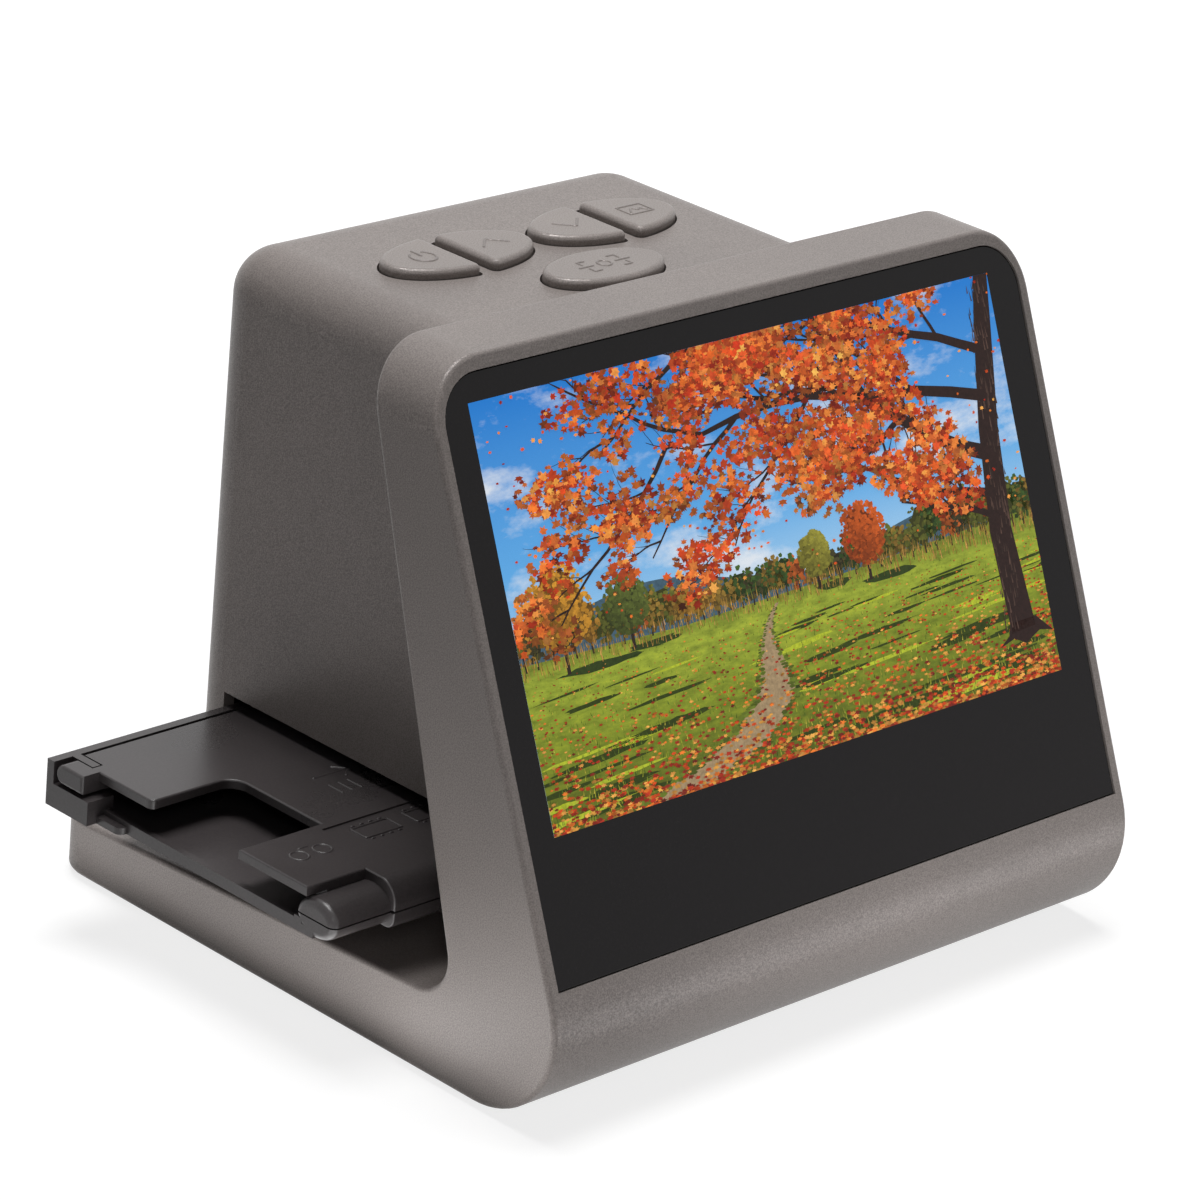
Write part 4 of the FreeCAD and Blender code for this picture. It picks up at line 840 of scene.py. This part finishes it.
def marks(name, lines, body, radius=0.30, proud=0.16,
          top=button_top, finish=mark_material):
    """A sign of beads. lines are (points, closed), and stand proud of a face at the height top."""
    points, faces = [], []
    for line, closed in lines:
        spots = [(u, v, top + proud - radius) for u, v in line]
        bead_points, bead_faces = bead(spots, radius, closed)
        faces += [tuple(i + len(points) for i in face) for face in bead_faces]
        points += bead_points
    mesh = bpy.data.meshes.new(name)
    mesh.from_pydata([p * MM for p in points], [], faces)
    mesh.materials.append(finish)
    for face in mesh.polygons:
        face.use_smooth = True
    mesh.validate()
    piece = bpy.data.objects.new(name, mesh)
    bpy.context.scene.collection.objects.link(piece)
    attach(piece, body)


def arc(centre, radius, start, end, steps):
    """Points on a circle from one angle to another, in degrees."""
    spots = []
    for index in range(steps + 1):
        a = math.radians(start + (end - start) * index / steps)
        spots.append((centre[0] + radius * math.cos(a), centre[1] + radius * math.sin(a)))
    return spots


def even(points, step=0.25):
    """The same line with points at even short steps, so that its bends stay round."""
    spots = []
    for (u0, v0), (u1, v1) in zip(points, points[1:]):
        parts = max(1, int(math.hypot(u1 - u0, v1 - v0) / step))
        spots += [(u0 + (u1 - u0) * i / parts, v0 + (v1 - v0) * i / parts) for i in range(parts)]
    return spots + [points[-1]]


def around(centre, points):
    """Points that are given from a sign's centre."""
    return [(centre[0] + u, centre[1] + v) for u, v in points]


def box(half, rise):
    """The corners of a box, from its half width and half height."""
    return [(-half, -rise), (half, -rise), (half, rise), (-half, rise)]


def stroke(points):
    """An open line of a sign."""
    return (even(points), False)


def loop(points):
    """A closed line of a sign."""
    return (even([*points, points[0]])[:-1], True)


# The signs of the buttons

pair_y = 24.8
power_at, up_at, down_at, view_at = ((x, pair_y) for x in (-22.6, -8.6, 8.6, 22.6))
scan_at = (0, 8.5)

dial_radius = 2.1
marks("power_mark", [
    (arc(power_at, dial_radius, 125, 415, 28), False),
    stroke(around(power_at, [(0, 0.5), (0, 2.7)])),
], "power_key")

arrow_half, arrow_rise = 2.6, 1.3
arrow = [(-arrow_half, -arrow_rise), (0, arrow_rise), (arrow_half, -arrow_rise)]
marks("up_mark", [stroke(around(up_at, arrow))], "up_key")
marks("down_mark", [stroke(around(down_at, [(x, -y) for x, y in arrow]))], "down_key")

picture_hills = [(-1.7, -0.9), (-0.5, 0.6), (0.4, -0.4), (1.0, 0.2), (1.8, -0.9)]
marks("view_mark", [
    loop(around(view_at, box(2.5, 1.7))),
    stroke(around(view_at, picture_hills)),
], "view_key", radius=0.24, proud=0.14)

outer_x, outer_y = 3.9, 2.1
inner_x, inner_y = 2.5, 0.9
dot_radius, line_start, line_end = 1.15, 2.4, 5.2
scan_lines = []
for sx in (-1, 1):
    for sy in (-1, 1):
        bend = (sx * outer_x, sy * outer_y)
        corner = [(sx * outer_x, sy * inner_y), bend, (sx * inner_x, sy * outer_y)]
        scan_lines.append(stroke(around(scan_at, corner)))
scan_lines.append((arc(scan_at, dot_radius, 0, 345, 24), True))
scan_lines.append(stroke(around(scan_at, [(-line_end, 0), (-line_start, 0)])))
scan_lines.append(stroke(around(scan_at, [(line_start, 0), (line_end, 0)])))
marks("scan_mark", scan_lines, "scan_key", radius=0.26, proud=0.15)


# The signs of the film tray: arrows for the way in, loading rings and a row of film frames

lid_top = 28.0
label_floor = 27.7
arrow_tip, arrow_tail, arrow_y = 41.6, 48.6, 12.8
barb_length, barb_rise = 1.9, 1.7
bar_inset, bar_pitch, bar_top, bar_foot = 0.4, 1.9, 9.6, 6.6
spool_places, spool_y, spool_radius = (68.4, 63.9), -6.6, 1.45
film_places, film_y = (66.9, 65.4), -4.7
frame_pitch, frame_y, frame_half, frame_rise = 10.4, -5.35, 3.6, 1.75
hole_half, hole_gap = 0.22, 0.62


def way_in(side):
    """An arrow and three bars beside the notch, pointing into the slot."""
    tip, tail = side * arrow_tip, side * arrow_tail
    barb = tip + side * barb_length
    lines = [
        stroke([(tail, arrow_y), (tip, arrow_y)]),
        stroke([(barb, arrow_y + barb_rise), (tip, arrow_y), (barb, arrow_y - barb_rise)]),
    ]
    for index in range(3):
        bar = tail - side * (bar_inset + bar_pitch * index)
        lines.append(stroke([(bar, bar_top), (bar, bar_foot)]))
    return lines


def film_frame(u, v):
    """One picture of a film, with its four holes on both edges."""
    lines = [loop(around((u, v), box(frame_half, frame_rise)))]
    for index in range(4):
        hole = u - frame_half + (index + 0.5) * frame_half / 2
        for edge in (-1, 1):
            centre = (hole, v + edge * (frame_rise + hole_gap))
            lines.append(stroke(around(centre, [(-hole_half, 0), (hole_half, 0)])))
    return lines


lid_lines = []
for side in (-1, 1):
    lid_lines += way_in(side)
    for place in spool_places:
        lid_lines.append((arc((side * place, spool_y), spool_radius, 0, 340, 22), True))
    lid_lines.append(stroke([(side * place, film_y) for place in film_places]))
label_lines = []
for index in range(-5, 6):
    label_lines += film_frame(index * frame_pitch, frame_y)
marks("lid_signs", lid_lines, "lid", radius=0.24, proud=0.15,
      top=lid_top, finish=finishes["tray_plastic"])
marks("label_signs", label_lines, "lid", radius=0.20, proud=0.20,
      top=label_floor, finish=finishes["tray_plastic"])


# Floor, lamps and camera, in metres

def stage_plane():
    """A floor that is seen white, and that throws light back only near the object."""
    half, drop = 4.0, 0.00002
    shader = Shader("floor_white").set(Roughness=0.9, Specular_IOR_Level=0.1)
    shader.set(Emission_Color=(1, 1, 1, 1))
    path = shader.tree.nodes.new("ShaderNodeLightPath")
    seen = shader.sum(path.outputs["Is Camera Ray"], path.outputs["Is Glossy Ray"])
    seen = shader.sum(seen, path.outputs["Is Transmission Ray"])
    reach = shader.tree.nodes.new("ShaderNodeVectorMath")
    reach.operation = "LENGTH"
    shader.link(shader.place, reach.inputs[0])
    away = shader.range(reach.outputs["Value"], 0.07, 0.17)
    bright, mid, dim = (0.85, 0.85, 0.85), (0.30, 0.30, 0.30), (0.06, 0.06, 0.06)
    sheet = shader.ramp(away, [(0.0, bright), (0.5, mid), (1.0, dim)])
    shader.colour(shader.mix(seen, sheet, (0.30, 0.30, 0.30, 1)))
    glow = shader.tree.nodes.new("ShaderNodeMath")
    glow.operation = "MULTIPLY"
    glow.use_clamp = True
    far_glow = shader.range(reach.outputs["Value"], 0.15, 0.6, to_low=0.80, to_high=1.0)
    shader.link(seen, glow.inputs[0])
    shader.link(far_glow, glow.inputs[1])
    shader.link(glow.outputs[0], shader.main.inputs["Emission Strength"])
    mesh = bpy.data.meshes.new("floor")
    corners = [(-half, -half, 0), (half, -half, 0), (half, half, 0), (-half, half, 0)]
    mesh.from_pydata(corners, [], [(0, 1, 2, 3)])
    mesh.materials.append(shader.material)
    floor = bpy.data.objects.new("floor", mesh)
    bpy.context.scene.collection.objects.link(floor)
    floor.location.z = -drop


def white_world():
    """White where it is seen, by the camera or in mirrors and glass, and nearly dark as a light."""
    as_light, as_seen = 0.01, 1.0
    world = bpy.data.worlds.new("studio")
    bpy.context.scene.world = world
    world.use_nodes = True
    tree = world.node_tree
    rays = tree.nodes.new("ShaderNodeLightPath")
    seen = rays.outputs["Is Camera Ray"]
    for kind in ("Is Glossy Ray", "Is Transmission Ray"):
        either = tree.nodes.new("ShaderNodeMath")
        either.operation = "MAXIMUM"
        tree.links.new(seen, either.inputs[0])
        tree.links.new(rays.outputs[kind], either.inputs[1])
        seen = either.outputs[0]
    level = tree.nodes.new("ShaderNodeMapRange")
    level.inputs["To Min"].default_value = as_light
    level.inputs["To Max"].default_value = as_seen
    tree.links.new(seen, level.inputs["Value"])
    background = tree.nodes["Background"]
    background.inputs["Color"].default_value = (1.0, 1.0, 1.0, 1)
    tree.links.new(level.outputs["Result"], background.inputs["Strength"])


def area_light(name, place, aim, size, watts):
    data = bpy.data.lights.new(name, "AREA")
    data.shape = "RECTANGLE"
    data.size, data.size_y = size
    data.energy = watts
    light = bpy.data.objects.new(name, data)
    bpy.context.scene.collection.objects.link(light)
    light.location = place
    light.visible_camera = False
    light.rotation_euler = (Vector(aim) - Vector(place)).to_track_quat("-Z", "Y").to_euler()


def bounce_light(name, place, size, watts):
    """A soft light that faces up from just over the floor, like a white sheet beside the object."""
    over_floor = 0.002
    area_light(name, (*place, over_floor), (*place, 1), size, watts)


stage_plane()
white_world()
middle = (0, 0, 0.05)
area_light("top_light", (0.05, 0.12, 1.20), middle, size=(0.65, 0.60), watts=13.5)
bounce_light("left_bounce", (-0.100, -0.060), size=(0.06, 0.09), watts=0.032)
bounce_light("base_bounce", (-0.076, 0.015), size=(0.016, 0.10), watts=0.007)
bounce_light("front_bounce", (0.045, -0.110), size=(0.17, 0.07), watts=0.085)
area_light("line_light", (-0.50, -0.52, 0.48), middle, size=(0.12, 0.12), watts=0.30)

# The camera, solved from the straight edges of the photograph: angles around the object, above the
# table and around the line of sight, place, and focal length in the photograph's pixels
view_az, view_el, view_roll = (math.radians(a) for a in (-46.286, 22.4, 5.406))
camera_place = Vector((-0.55321, -0.52621, 0.36560))
focal_pixels = 5316.637
photo_pixels = 1200
sensor_width = 36.0

back = Vector((
    math.sin(view_az) * math.cos(view_el),
    -math.cos(view_az) * math.cos(view_el),
    math.sin(view_el),
))
right = (-back).cross(Vector((0, 0, 1))).normalized()
up = right.cross(-back)
turned_right = right * math.cos(view_roll) + up * math.sin(view_roll)
turned_up = -right * math.sin(view_roll) + up * math.cos(view_roll)
camera_data = bpy.data.cameras.new("photo_view")
camera_data.sensor_width = sensor_width
camera_data.sensor_fit = "HORIZONTAL"
camera_data.lens = focal_pixels / photo_pixels * sensor_width
camera_data.clip_start = 0.05
camera_data.clip_end = 20.0
camera = bpy.data.objects.new("photo_view", camera_data)
bpy.context.scene.collection.objects.link(camera)
turn = Matrix((turned_right, turned_up, back)).transposed().to_4x4()
camera.matrix_world = Matrix.Translation(camera_place) @ turn
bpy.context.scene.camera = camera

bpy.context.scene.view_settings.view_transform = "Standard"

bpy.context.view_layer.update()
